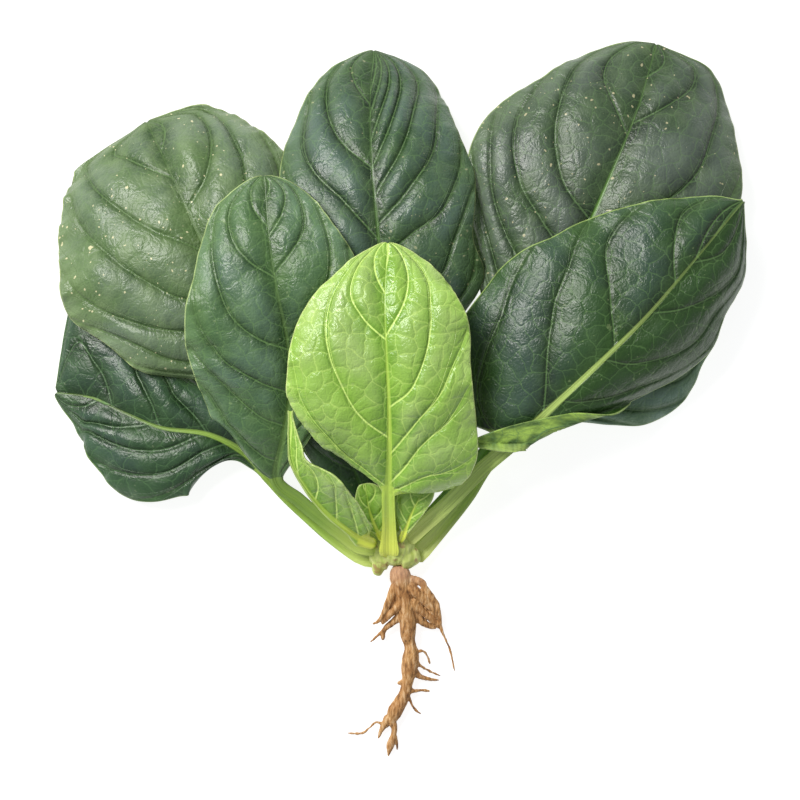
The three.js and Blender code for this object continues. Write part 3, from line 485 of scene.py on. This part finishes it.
leaf("low_right_spinach_leaf", "leaf_low_right",
     leaf_skin("low_right_leaf", deep="#1f3a1d", mid="#3f5f3a", bloom_and_sheen="#7f9a90", light="#64805a",
               vein="#6d8c5a", rim="#8fa872", stem="#b4cd6c", stem_base="#d0dc80", freckle="#8f9a78",
               under="#8fa662", bloom_and_sheen_by=0.5, freckles=0.2, shade_seed=20),
     rib=[(6, 0, 5.4), (11, 4.5, 5), (19, 13.5, 5), (28.5, 25.5, 5.4), (39, 41, 6.5), (60, 58, 10), (82, 72, 12),
          (106, 84, 9.5), (129, 96, 2.2)],
     stalk=(62, 3, 4.4, 0.5),
     left=[3.5, 21.5, 24.5, 27, 27, 24.5, 22.5, 19.5, 16.5, 12, 8, 4, 1],
     right=[4.5, 7.5, 9.5, 18, 24.5, 26, 24.5, 20, 13, 9.5, 5.5, 3, 1],
     fold=(12, 10), curl=(-40, -46), wave=(1.4, 2, 0.1),
     veins=([[0.06, 0.14, 0.26, 0.42], [0.24, 0.32, 0.45, 0.65], [0.42, 0.52, 0.66, 0.9],
             [0.6, 0.7, 0.86, 1.1], [0.78, 0.88, 1.02, 1.3]],
            [[0.12, 0.2, 0.32, 0.5], [0.3, 0.39, 0.52, 0.75], [0.5, 0.6, 0.75, 1], [0.7, 0.8, 0.96, 1.25]]), swell=1.4, seed=3)


# The broad leaf at the back on the left
# Full grown, olive at the margin, with many cream freckles. Its blade is the widest of all.

leaf("back_left_spinach_leaf", "leaf_back_left",
     leaf_skin("back_left_leaf", deep="#27401c", mid="#4a6334", bloom_and_sheen="#80917e", light="#74895a", vein="#5d7a45",
               rim="#a5b578", stem="#5f7f3c", stem_base="#a9c45a", freckle="#cdc79f", under="#8fa662",
               bloom_and_sheen_by=0.4, freckles=0.8, groove_shade_by=0.5, rib_by=0.35, shade_seed=40),
     rib=[(-4, 4, 10), (-18, 22, 11), (-38, 51, 15), (-53, 77, 21), (-66, 103, 26), (-78, 130, 27), (-89, 154, 19),
          (-99.5, 175.5, 2.4)],
     stalk=(92, 2.4, 3.8, 0.2),
     left=[20, 43.5, 52, 61.5, 62, 58, 55, 50.5, 45.5, 41, 37, 31.5, 1],
     right=[12, 27, 36, 42.5, 46, 47.5, 45, 40.5, 37, 33, 28.5, 22.5, 1.5],
     fold=(10, 10), curl=(-38, -44), wave=(2, 3, 0.7),
     veins=([[0.01, 0.03, 0.14, 0.4], [0.11, 0.19, 0.31, 0.6], [0.24, 0.35, 0.6, 0.95],
             [0.42, 0.6, 0.82, 1.08], [0.72, 0.86, 0.98, 1.2]],
            [[0.08, 0.14, 0.35, 0.8], [0.34, 0.43, 0.7, 1.15], [0.59, 0.69, 0.89, 1.3]]), swell=2.2, seed=4)


# The broad leaf at the back on the right
# Full grown, with strong swellings and a dull shine.

leaf("back_right_spinach_leaf", "leaf_back_right",
     leaf_skin("back_right_leaf", deep="#122310", mid="#2b4122", bloom_and_sheen="#76827a", light="#566b44", vein="#5e7d4b",
               rim="#97a96f", stem="#64903a", stem_base="#a9c45a", freckle="#c9bf98", under="#8fa662",
               bloom_and_sheen_by=0.4, freckles=0.55, shade_seed=80),
     rib=[(4, 5, 10), (15, 19, 11), (32, 38, 12), (48, 62, 15), (60, 91, 22), (71, 120, 27), (84, 150, 26),
          (96, 179, 18), (104.5, 206.5, 2.2)],
     stalk=(104, 2.5, 3.9, 0.2),
     left=[28, 38, 47.5, 56, 57.5, 54, 47, 39.5, 32.5, 24.5, 16, 9, 1],
     right=[3, 28.5, 42, 50, 55, 55, 50.5, 43.5, 38.5, 33.5, 28, 21, 1],
     fold=(10, 10), curl=(-40, -44), wave=(1.6, 2.5, 0.2),
     veins=([[0.08, 0.14, 0.28, 0.62], [0.22, 0.32, 0.46, 0.8], [0.37, 0.46, 0.68, 1],
             [0.66, 0.75, 0.9, 1.2]],
            [[0.05, 0.1, 0.2, 0.45], [0.22, 0.28, 0.4, 0.7], [0.37, 0.46, 0.68, 1.05],
             [0.7, 0.8, 0.94, 1.2], [0.87, 0.96, 1.08, 1.35]]), swell=2.2, seed=5)


# The leaf at the back in the middle
# Full grown, longer than wide, with deep grooves along its side veins.

leaf("back_centre_spinach_leaf", "leaf_back_centre",
     leaf_skin("back_centre_leaf", deep="#10230e", mid="#27411e", bloom_and_sheen="#6b857a", light="#4f683b", vein="#5f804a",
               rim="#97a96f", stem="#64903a", stem_base="#a9c45a", freckle="#b7b48a", under="#8fa662",
               bloom_and_sheen_by=0.4, freckles=0.35, rib_by=0.35, shade_seed=120),
     rib=[(-1, 7, 10), (-0.5, 32, 14), (-2, 64, 23), (-4, 96, 32), (-6.5, 128, 36), (-9, 156, 32), (-10, 182, 19.5),
          (-8.5, 204, 2.2)],
     stalk=(66, 2.4, 3.8, 0.2),
     left=[3, 12, 27.5, 33.5, 37.5, 38.5, 35.5, 30, 24.5, 18.5, 11, 5, 1],
     right=[3, 27, 42.5, 39.5, 42, 42.5, 38, 34.5, 31.5, 28, 22, 13.5, 1],
     fold=(8, 8), curl=(-40, -44), wave=(1.4, 3, 0.5),
     veins=([[0.08, 0.14, 0.22, 0.45], [0.23, 0.3, 0.38, 0.66], [0.4, 0.51, 0.63, 0.89],
             [0.6, 0.68, 0.81, 1.02], [0.8, 0.87, 0.97, 1.2]],
            [[0.05, 0.1, 0.17, 0.35], [0.19, 0.25, 0.32, 0.55], [0.34, 0.41, 0.48, 0.72],
             [0.44, 0.53, 0.67, 0.95], [0.52, 0.66, 0.88, 1.2]]), swell=2.2, seed=6)


# The small dark leaf in the shade
# It lies under the young middle leaf, and only its left edge shows.

leaf("inner_dark_spinach_leaf", "leaf_inner_dark",
     leaf_skin("shaded_leaf", deep="#16291a", mid="#203820", bloom_and_sheen="#3a5040", light="#2f4a26", vein="#3c5a2e",
               rim="#5c7a3a", stem="#4f7a2c", stem_base="#86a84a", freckle="#7c8a60", under="#8fa662",
               bloom_and_sheen_by=0.2, freckles=0.2, rib_by=0.2, shade_seed=160),
     rib=[(-3, 9, 12.5), (-9, 20, 15), (-16, 36, 20), (-22, 52, 26), (-25, 67, 30)],
     stalk=(8, 1.8, 2.4, 0.2),
     left=[3, 8, 12, 15, 16, 14, 10, 6, 1], right=[3, 12, 15, 15, 14, 12, 8, 4, 1],
     fold=(12, 12), curl=(-40, -40), wave=(0.8, 3, 0),
     veins=([[0.1, 0.18, 0.3, 0.5], [0.4, 0.5, 0.65, 0.9], [0.7, 0.8, 0.95, 1.2]],
            [[0.2, 0.28, 0.4, 0.6], [0.5, 0.6, 0.75, 1]]), swell=1, rows=(16, 70), columns=(5, 24), seed=7)


# The leaf in front on the left
# Full grown, with a soft blue-grey shine in the middle and a fine pale rim.

leaf("front_left_spinach_leaf", "leaf_front_left",
     leaf_skin("front_left_leaf", deep="#1b3417", mid="#355327", bloom_and_sheen="#708c7a", light="#5f7d48", vein="#67894f",
               rim="#a5b878", stem="#76933f", stem_base="#b5c866", freckle="#9fb07a", under="#8fa662",
               bloom_and_sheen_by=0.4, freckles=0.2, rib_by=0.25, shade_seed=200),
     rib=[(-6, 5, 11.5), (-14, 5.8, 11.5), (-20, 9.8, 12), (-30, 17.2, 13), (-38, 24, 15), (-47, 32.5, 20),
          (-44, 50, 31), (-41, 70, 39), (-42.5, 89, 44), (-46.5, 108, 47), (-49.5, 128, 46), (-51.5, 152.5, 38)],
     stalk=(53, 2.5, 4, 0.5),
     left=[3, 26.5, 37, 39.5, 41, 38.5, 32.5, 28.5, 24.5, 19.5, 12.5, 6.5, 1],
     right=[3, 9, 16, 23, 29.5, 34, 32.5, 28, 23, 18, 13, 6.5, 1],
     fold=(10, 8), curl=(-34, -26), wave=(1.8, 3, 0.3),
     veins=([[0.06, 0.08, 0.14, 0.3], [0.19, 0.22, 0.3, 0.52], [0.3, 0.34, 0.44, 0.7],
             [0.44, 0.51, 0.66, 0.98], [0.67, 0.74, 0.86, 1.15], [0.83, 0.9, 1.02, 1.3]],
            [[0.12, 0.18, 0.28, 0.5], [0.29, 0.38, 0.49, 0.75], [0.47, 0.56, 0.66, 0.92],
             [0.68, 0.75, 0.85, 1.1], [0.8, 0.87, 0.99, 1.3]]), swell=1.5, seed=8)


# The leaf in front on the right
# Full grown. Its upper half faces up, and its lower half slopes away below the midrib, with painted shade there: a
# plainer green without the painted sheen.

leaf("front_right_spinach_leaf", "leaf_front_right",
     leaf_skin("front_right_leaf", deep="#0c1d09", mid="#22400f", bloom_and_sheen="#4b645a", light="#3c5829", vein="#5f8149",
               rim="#9ab368", stem="#b7cf70", stem_base="#d0dc80", shaded_half_by=0.7, freckle="#9fb07a", under="#9dbd52",
               bloom_and_sheen_by=0.4, freckles=0.2, shade_seed=230),
     rib=[(3, 7, 13), (11, 14, 15.5), (19, 21, 19), (27, 29, 23), (36, 38, 27), (50, 50, 33), (66, 65, 40),
          (84, 82, 43), (100, 98, 42), (118, 119, 38), (138, 143, 28)],
     stalk=(67, 3, 4, 0.3),
     left=[26, 48, 54.5, 54.5, 50, 46, 39, 31, 23, 15, 8, 2, 1],
     right=[25, 19, 24.5, 31, 36.5, 38.5, 32.5, 30.5, 27, 16.5, 7, 2, 1],
     fold=(6, -14), curl=(-30, -52), wave=(1.6, 3, 0.9),
     lobes=(0.8, 0), roll=(0.2, [3.2, 5, 11, 18, 24.5], 154, [1, 0.7, 0.2, 0, 0]),
     veins=([[-0.02, 0, 0.14, 0.43], [0.09, 0.25, 0.43, 0.66], [0.39, 0.5, 0.6, 0.8],
             [0.66, 0.74, 0.84, 1], [0.76, 0.92, 1.11, 1.34]],
            [[-0.02, 0.03, 0.12, 0.38], [0.16, 0.21, 0.34, 0.72], [0.34, 0.41, 0.59, 1],
             [0.54, 0.63, 0.8, 1.17], [0.74, 0.84, 1.02, 1.34]]), swell=1.7, seed=9)


# The heart leaves
# The youngest leaves, a few centimetres long, beside the stalk of the middle leaf.

young_skin = leaf_skin("young_leaf", deep="#4f7d1c", mid="#76a034", bloom_and_sheen="#bccd8c", light="#94bb4c", vein="#c6e07a",
                       rim="#c4d488", stem="#b4cf55", stem_base="#ced95a", freckle="#c8d69a", under="#a3b96c",
                       bloom_and_sheen_by=0.45, freckles=0.1, gloss=0.28, groove_shade_by=0.3, vein_by=0.9, relief=0.2, shade_seed=240)
leaf("small_left_spinach_leaf", "leaf_small_left", young_skin,
     rib=[(-4, 7, 15), (-7, 12, 18), (-10, 20, 21.5), (-12, 31, 26)],
     stalk=(6, 1.2, 1.4, 0.2),
     left=[1.4, 4, 5, 5.4, 5, 4.2, 3.4, 2.4, 0.7], right=[1.4, 6, 8, 8.6, 8, 6.6, 5, 3, 0.7],
     fold=(20, 20), curl=(-30, -30), wave=(0.4, 3, 0.2),
     veins=([[0.15, 0.24, 0.36, 0.55], [0.5, 0.6, 0.75, 1]],
            [[0.25, 0.34, 0.46, 0.65], [0.6, 0.7, 0.85, 1.1]]), swell=0.5, rows=(10, 44), columns=(4, 16), tip_rib=0.4, seed=10)
leaf("small_right_spinach_leaf", "leaf_small_right", young_skin,
     rib=[(2, 7, 16), (4, 12, 19.5), (7.5, 21, 24), (13.5, 32, 28)],
     stalk=(6, 1.2, 1.4, 0.2),
     left=[1.4, 5, 7.4, 8.4, 8.4, 7.4, 5.6, 3.4, 0.7], right=[1.4, 3, 4.2, 4.8, 5, 4.6, 3.6, 2.4, 0.7],
     fold=(20, 20), curl=(-30, -30), wave=(0.4, 3, 0.6),
     veins=([[0.15, 0.24, 0.36, 0.55], [0.5, 0.6, 0.75, 1]],
            [[0.25, 0.34, 0.46, 0.65], [0.6, 0.7, 0.85, 1.1]]), swell=0.5, rows=(10, 44), columns=(4, 16), tip_rib=0.4, seed=11)


# The curled young leaf
# A small narrow leaf left of the crown, standing half on edge, so that it looks thin from above.

leaf("curled_spinach_leaf", "leaf_curled", young_skin,
     rib=[(-7, 6.5, 17), (-13, 8.5, 21), (-20, 13.5, 27), (-28, 20.5, 33), (-35, 29.5, 39), (-40.5, 41, 45), (-41, 60, 49)],
     stalk=(9, 1.8, 2, 0.6),
     left=[3.5, 1, 1, 1, 1, 1, 1.5, 1, 1, 1, 1, 1, 1],
     right=[8, 11, 14, 15, 15.5, 11.5, 6.5, 5.5, 3.5, 2, 1, 1, 1],
     fold=(30, 30), curl=(-20, 10), wave=(0.9, 3.5, 0.3),
     veins=([[0.1, 0.18, 0.3, 0.5], [0.5, 0.6, 0.75, 1]],
            [[0.2, 0.28, 0.4, 0.6], [0.4, 0.48, 0.6, 0.8], [0.6, 0.7, 0.85, 1.1]]), swell=0.6, rows=(12, 90), columns=(5, 24), tip_rib=0.5, seed=12)


# The young leaf in the middle
# It lies on top of all the others, bright yellow-green and glossy, with pale raised-looking veins, and its
# stalk widens into a sheath round the crown.

leaf("centre_spinach_leaf", "leaf_centre", young_skin,
     rib=[(-2.4, 0.5, 14.4), (-2.4, 8, 18.4), (-2.4, 16, 24), (-2.6, 28, 33), (-2.2, 44, 43), (-2.4, 64, 52), (-3.4, 84, 56),
          (-4, 104, 55), (-2.8, 126, 47)],
     stalk=(36, 2.3, 3.6, 1.2),
     left=[4.5, 23, 34, 40.5, 40, 38, 34, 27.5, 19.5, 13.5, 8, 4, 1],
     right=[26, 35, 35, 34, 33.5, 34, 32.5, 28.5, 24.5, 18.5, 12, 6, 1],
     fold=(12, 12), curl=(-34, -36), wave=(1.4, 3, 0.6),
     lobes=(0, 0.17),
     veins=([[-0.08, 0, 0.14, 0.62], [0.21, 0.34, 0.65, 1.08], [0.61, 0.7, 0.84, 1.2],
             [0.79, 0.88, 1, 1.3]],
            [[-0.06, 0.05, 0.1, 0.16], [0, 0.17, 0.28, 0.42], [0.14, 0.29, 0.42, 0.66],
             [0.34, 0.45, 0.78, 1.25], [0.62, 0.78, 1.05, 1.5]]), swell=1.3, seed=13)


# The root
# A woody tap root, rough and lined lengthways, with side roots that start in a matted cone below the crown.

def strands_grown_together(name, strands, voxel, sides=14, rings=60):
    """Round strands, each through points with a radius, grown together into one closed mesh."""
    parts = []
    for strand in strands:
        bpy.ops.object.select_all(action="DESELECT")
        bpy.ops.mesh.primitive_uv_sphere_add(segments=sides, ring_count=rings, radius=1, location=(0, 0, 0))
        part = bpy.context.object
        ball = np.empty(len(part.data.vertices) * 3)
        part.data.vertices.foreach_get("co", ball)
        ball = ball.reshape(-1, 3)
        line, heading, reach = along([point[:3] for point in strand])
        share = 1 - np.arccos(np.clip(ball[:, 2], -1, 1)) / math.pi
        at = share * reach[-1]
        turn = np.arctan2(ball[:, 1], ball[:, 0])
        thick = read([point[3] for point in strand], share) * np.sqrt(1 - np.abs(2 * share - 1) ** 12)
        middle = np.stack([np.interp(at, reach, line[:, k]) for k in range(3)], axis=1)
        forward = np.stack([np.interp(at, reach, heading[:, k]) for k in range(3)], axis=1)
        across = np.cross(forward, [0, 0, 1])
        across /= np.linalg.norm(across, axis=1)[:, None]
        up = np.cross(across, forward)
        points = middle + across * (thick * np.cos(turn))[:, None] + up * (thick * np.sin(turn))[:, None]
        part.data.vertices.foreach_set("co", (points * MM).ravel())
        part.data.update()
        parts.append(part)
    for part in parts:
        part.select_set(True)
    bpy.context.view_layer.objects.active = parts[0]
    bpy.ops.object.join()
    piece = bpy.context.object
    piece.name = name
    piece.data.name = name
    remesh = piece.modifiers.new("grown_together", "REMESH")
    remesh.mode = "VOXEL"
    remesh.voxel_size = voxel * MM
    bpy.ops.object.modifier_apply(modifier="grown_together")
    smooth = piece.modifiers.new("smooth", "SMOOTH")
    smooth.factor = 0.5
    smooth.iterations = 3
    bpy.ops.object.modifier_apply(modifier="smooth")
    return piece


root = strands_grown_together("tap_root", [
    [(2, -1, 7.4, 4.8), (2, -5, 7.3, 4.9), (2.8, -9.5, 7.2, 3.9), (3.6, -14, 6.8, 3.4), (4.4, -20, 6.2, 3.3), (5.2, -25, 5.6, 3.4),
     (5.2, -30.5, 5, 3.2), (6.4, -36, 4.5, 2.4), (5.8, -43, 4, 3.3), (5, -48, 3.7, 3.3), (4, -53, 3.4, 2.4),
     (2, -57, 3.2, 2.3), (0.2, -60, 3.1, 2.7), (-1.2, -64, 3, 3), (-0.2, -67, 2.6, 1.6), (-0.8, -70.5, 2.2, 1.2),
     (-2, -74.5, 1.8, 1.8), (-2.8, -79, 1, 0.5)],
    [(0.8, -8, 8, 1.8), (-2.8, -17, 8, 1.6), (-6, -23.6, 6.6, 1), (-9.4, -25.6, 5.6, 0.4)],
    [(1.2, -12, 6, 2.2), (-2, -19, 5, 1.9), (-4.8, -25, 4, 0.9)],
    [(2.6, -17, 8, 2), (-2, -21.6, 7, 1.4), (-5.4, -25.4, 5.4, 0.8)],
    [(3, -21.5, 6, 2), (-1.2, -25, 4.6, 1.4), (-4.4, -28, 3, 1.1), (-4.8, -32, 2, 0.9)],
    [(-3.4, -27, 3.6, 1), (-6.8, -30, 2.4, 0.6), (-10, -33, 1.6, 0.4)],
    [(4.5, -7.5, 7.6, 2.2), (10, -8.4, 8.6, 1.7), (12, -11, 8.6, 1.4), (14.8, -15, 7.6, 1.4), (17.4, -18.4, 6.6, 0.9)],
    [(4.6, -10, 8.6, 2.4), (10, -14, 8.4, 2.1), (14.8, -19, 7, 1.7), (17.6, -24, 5.4, 1)],
    [(4.6, -12.5, 6, 2.4), (10, -17.5, 5, 2.2), (14, -22.5, 4.2, 1.6), (17, -26, 3.6, 1)],
    [(6, -16, 7.6, 2.2), (10, -19.6, 7, 1.6), (14, -23, 5.8, 1.3), (17.8, -27, 4.4, 0.8)],
    [(6, -19, 5.4, 2.6), (9.4, -23.2, 4.4, 2), (13.2, -26, 3.6, 1.4), (16.6, -27.2, 3, 0.6)],
    [(16.6, -16.5, 7.2, 0.9), (17.6, -22, 6, 1), (18, -26.4, 4.8, 0.8)],
    [(17, -23.5, 5.4, 1), (19.6, -30.4, 3.8, 0.5), (22, -36, 2.4, 0.45), (24, -45, 1, 0.4)],
    [(7.6, -37, 4.6, 1), (10.8, -36.2, 4.4, 0.5), (12.8, -38, 3, 0.5), (14, -41.6, 1.4, 0.5)],
    [(7.2, -39, 4.2, 1.3), (10, -42, 3.6, 0.6), (14, -44.4, 2.4, 0.5), (18.4, -46.4, 1, 0.4)],
    [(6.8, -44, 3.6, 2.2), (10, -46.4, 2.8, 1.1), (14, -47.6, 1.8, 0.7), (18, -48, 1, 0.4)],
    [(5.2, -52, 3.4, 1.5), (8, -52.2, 3, 0.7), (10.8, -52, 2.2, 0.6), (14, -52.4, 1.2, 0.5)],
    [(4.4, -53, 3.2, 1.4), (6, -56, 2.4, 0.6), (7.6, -59.2, 1.6, 0.5), (10.4, -61.6, 1, 0.4)],
    [(2.8, -48.8, 3.4, 1.3), (0.8, -49.2, 3.2, 0.4)],
    [(-2.8, -63, 3, 1.5), (-4.8, -65.2, 2.6, 0.6), (-7.6, -64.8, 2.2, 0.5), (-10, -66.8, 1.8, 0.5),
     (-13.2, -69.2, 1.2, 0.5), (-19.2, -69.2, 0.8, 0.4)],
    [(-2, -62.4, 2.8, 2.2), (-4, -65.6, 2.2, 1.6), (-5.6, -68.4, 1.6, 0.9), (-6.8, -71.6, 1, 0.35)],
    [(-0.4, -69.6, 2.2, 1.1), (0.8, -72.8, 1.6, 0.6), (0.8, -76, 1, 0.35)],
], voxel=0.3)
mesh = root.data
co = np.empty(len(mesh.vertices) * 3)
normal = np.empty(len(mesh.vertices) * 3)
mesh.vertices.foreach_get("co", co)
mesh.vertices.foreach_get("normal", normal)
co, normal = co.reshape(-1, 3), normal.reshape(-1, 3)
ridge = np.array([noise.noise((x * 900, y * 160, z * 900)) + 0.5 * noise.noise((x * 2200, y * 500, z * 2200))
                  for x, y, z in co])
co += normal * (ridge * 0.00022)[:, None]
co[:, 2] = np.maximum(co[:, 2], 0.0001)
mesh.vertices.foreach_set("co", co.ravel())
bpy.ops.object.shade_smooth()
material, tree, shader = skin("root_bark")
place = add(tree, "ShaderNodeTexCoord").outputs["Object"]
long_grain = add(tree, "ShaderNodeMapping", {"Vector": place, "Scale": (1, 0.22, 1)}).outputs[0]
grain = add(tree, "ShaderNodeTexNoise", {"Vector": long_grain, "Scale": 900, "Detail": 5, "Roughness": 0.65})
clouds = add(tree, "ShaderNodeTexNoise", {"Vector": place, "Scale": 180, "Detail": 3})
ramp = add(tree, "ShaderNodeValToRGB", {"Fac": grain.outputs["Fac"]})
ramp.color_ramp.elements[0].position = 0.3
ramp.color_ramp.elements[0].color = linear("#58371a")
ramp.color_ramp.elements[1].position = 0.72
ramp.color_ramp.elements[1].color = linear("#f0d9b2")
middle = ramp.color_ramp.elements.new(0.5)
middle.color = linear("#c0945c")
dirt = add(tree, "ShaderNodeMix", {"Factor": clouds.outputs["Fac"], 6: ramp.outputs[0], 7: linear("#b58d62")},
           data_type="RGBA", blend_type="MULTIPLY")
height = add(tree, "ShaderNodeSeparateXYZ", {0: place}).outputs["Y"]
neck = add(tree, "ShaderNodeMapRange", {"Value": height, "From Min": -0.012, "From Max": -0.003, "To Max": 0.55},
           interpolation_type="SMOOTHSTEP")
bark = add(tree, "ShaderNodeMix", {"Factor": neck.outputs[0], 6: dirt.outputs[2], 7: linear("#b9907a")},
           data_type="RGBA")
tree.links.new(bark.outputs[2], shader.inputs["Base Color"])
bump = add(tree, "ShaderNodeBump", {"Height": grain.outputs["Fac"], "Distance": 0.0004, "Strength": 0.8})
tree.links.new(bump.outputs[0], shader.inputs["Normal"])
shader.inputs["Roughness"].default_value = 0.85
mesh.materials.append(material)
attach(root, "root")
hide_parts("root")


# The crown
# The short pale stem that all the stalks grow from, with the stub of a leaf that was lost beside the root.

crown = strands_grown_together("crown_stem", [
    [(0, -2.2, 7.2, 4.4), (0, -0.6, 7.2, 6.6), (0, 2, 7.2, 8), (0, 7, 7.2, 8), (0, 10, 7.2, 6.4), (0, 13.6, 7.2, 2.6)],
    [(-5.5, 1, 8, 3), (-6.6, -2.6, 8, 2.8), (-7.2, -6, 7.6, 1.6)],
    [(-2, 1.6, 7.4, 6), (-6, 2.2, 7, 5), (-10, 3, 6.4, 3.4)],
    [(2, 1.6, 7.4, 6), (6, 2, 7, 5), (9.6, 3, 6.4, 3.2)],
], voxel=0.35)
mesh = crown.data
co = np.empty(len(mesh.vertices) * 3)
normal = np.empty(len(mesh.vertices) * 3)
mesh.vertices.foreach_get("co", co)
mesh.vertices.foreach_get("normal", normal)
co, normal = co.reshape(-1, 3), normal.reshape(-1, 3)
ridge = np.array([noise.noise((x * 700, y * 200, z * 700)) for x, y, z in co])
co += normal * (ridge * 0.00018)[:, None]
co[:, 2] = np.maximum(co[:, 2], 0.0001)
mesh.vertices.foreach_set("co", co.ravel())
bpy.ops.object.shade_smooth()
material, tree, shader = skin("crown_flesh")
place = add(tree, "ShaderNodeTexCoord").outputs["Object"]
long_grain = add(tree, "ShaderNodeMapping", {"Vector": place, "Scale": (1, 0.3, 1)}).outputs[0]
grain = add(tree, "ShaderNodeTexNoise", {"Vector": long_grain, "Scale": 500, "Detail": 4})
ramp = add(tree, "ShaderNodeValToRGB", {"Fac": grain.outputs["Fac"]})
ramp.color_ramp.elements[0].position = 0.3
ramp.color_ramp.elements[0].color = linear("#94a63f")
ramp.color_ramp.elements[1].position = 0.7
ramp.color_ramp.elements[1].color = linear("#d3dc85")
clouds = add(tree, "ShaderNodeTexNoise", {"Vector": place, "Scale": 260, "Detail": 4})
bruised = add(tree, "ShaderNodeMapRange", {"Value": clouds.outputs["Fac"], "From Min": 0.56, "From Max": 0.68,
                                           "To Max": 0.7}, interpolation_type="SMOOTHSTEP")
bruise = add(tree, "ShaderNodeMix", {"Factor": bruised.outputs[0], 6: ramp.outputs[0], 7: linear("#96694a")},
             data_type="RGBA")
tree.links.new(bruise.outputs[2], shader.inputs["Base Color"])
shader.inputs["Roughness"].default_value = 0.5
bump = add(tree, "ShaderNodeBump", {"Height": grain.outputs["Fac"], "Distance": 0.0005, "Strength": 0.6})
tree.links.new(bump.outputs[0], shader.inputs["Normal"])
mesh.materials.append(material)
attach(crown, "root")
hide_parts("crown")
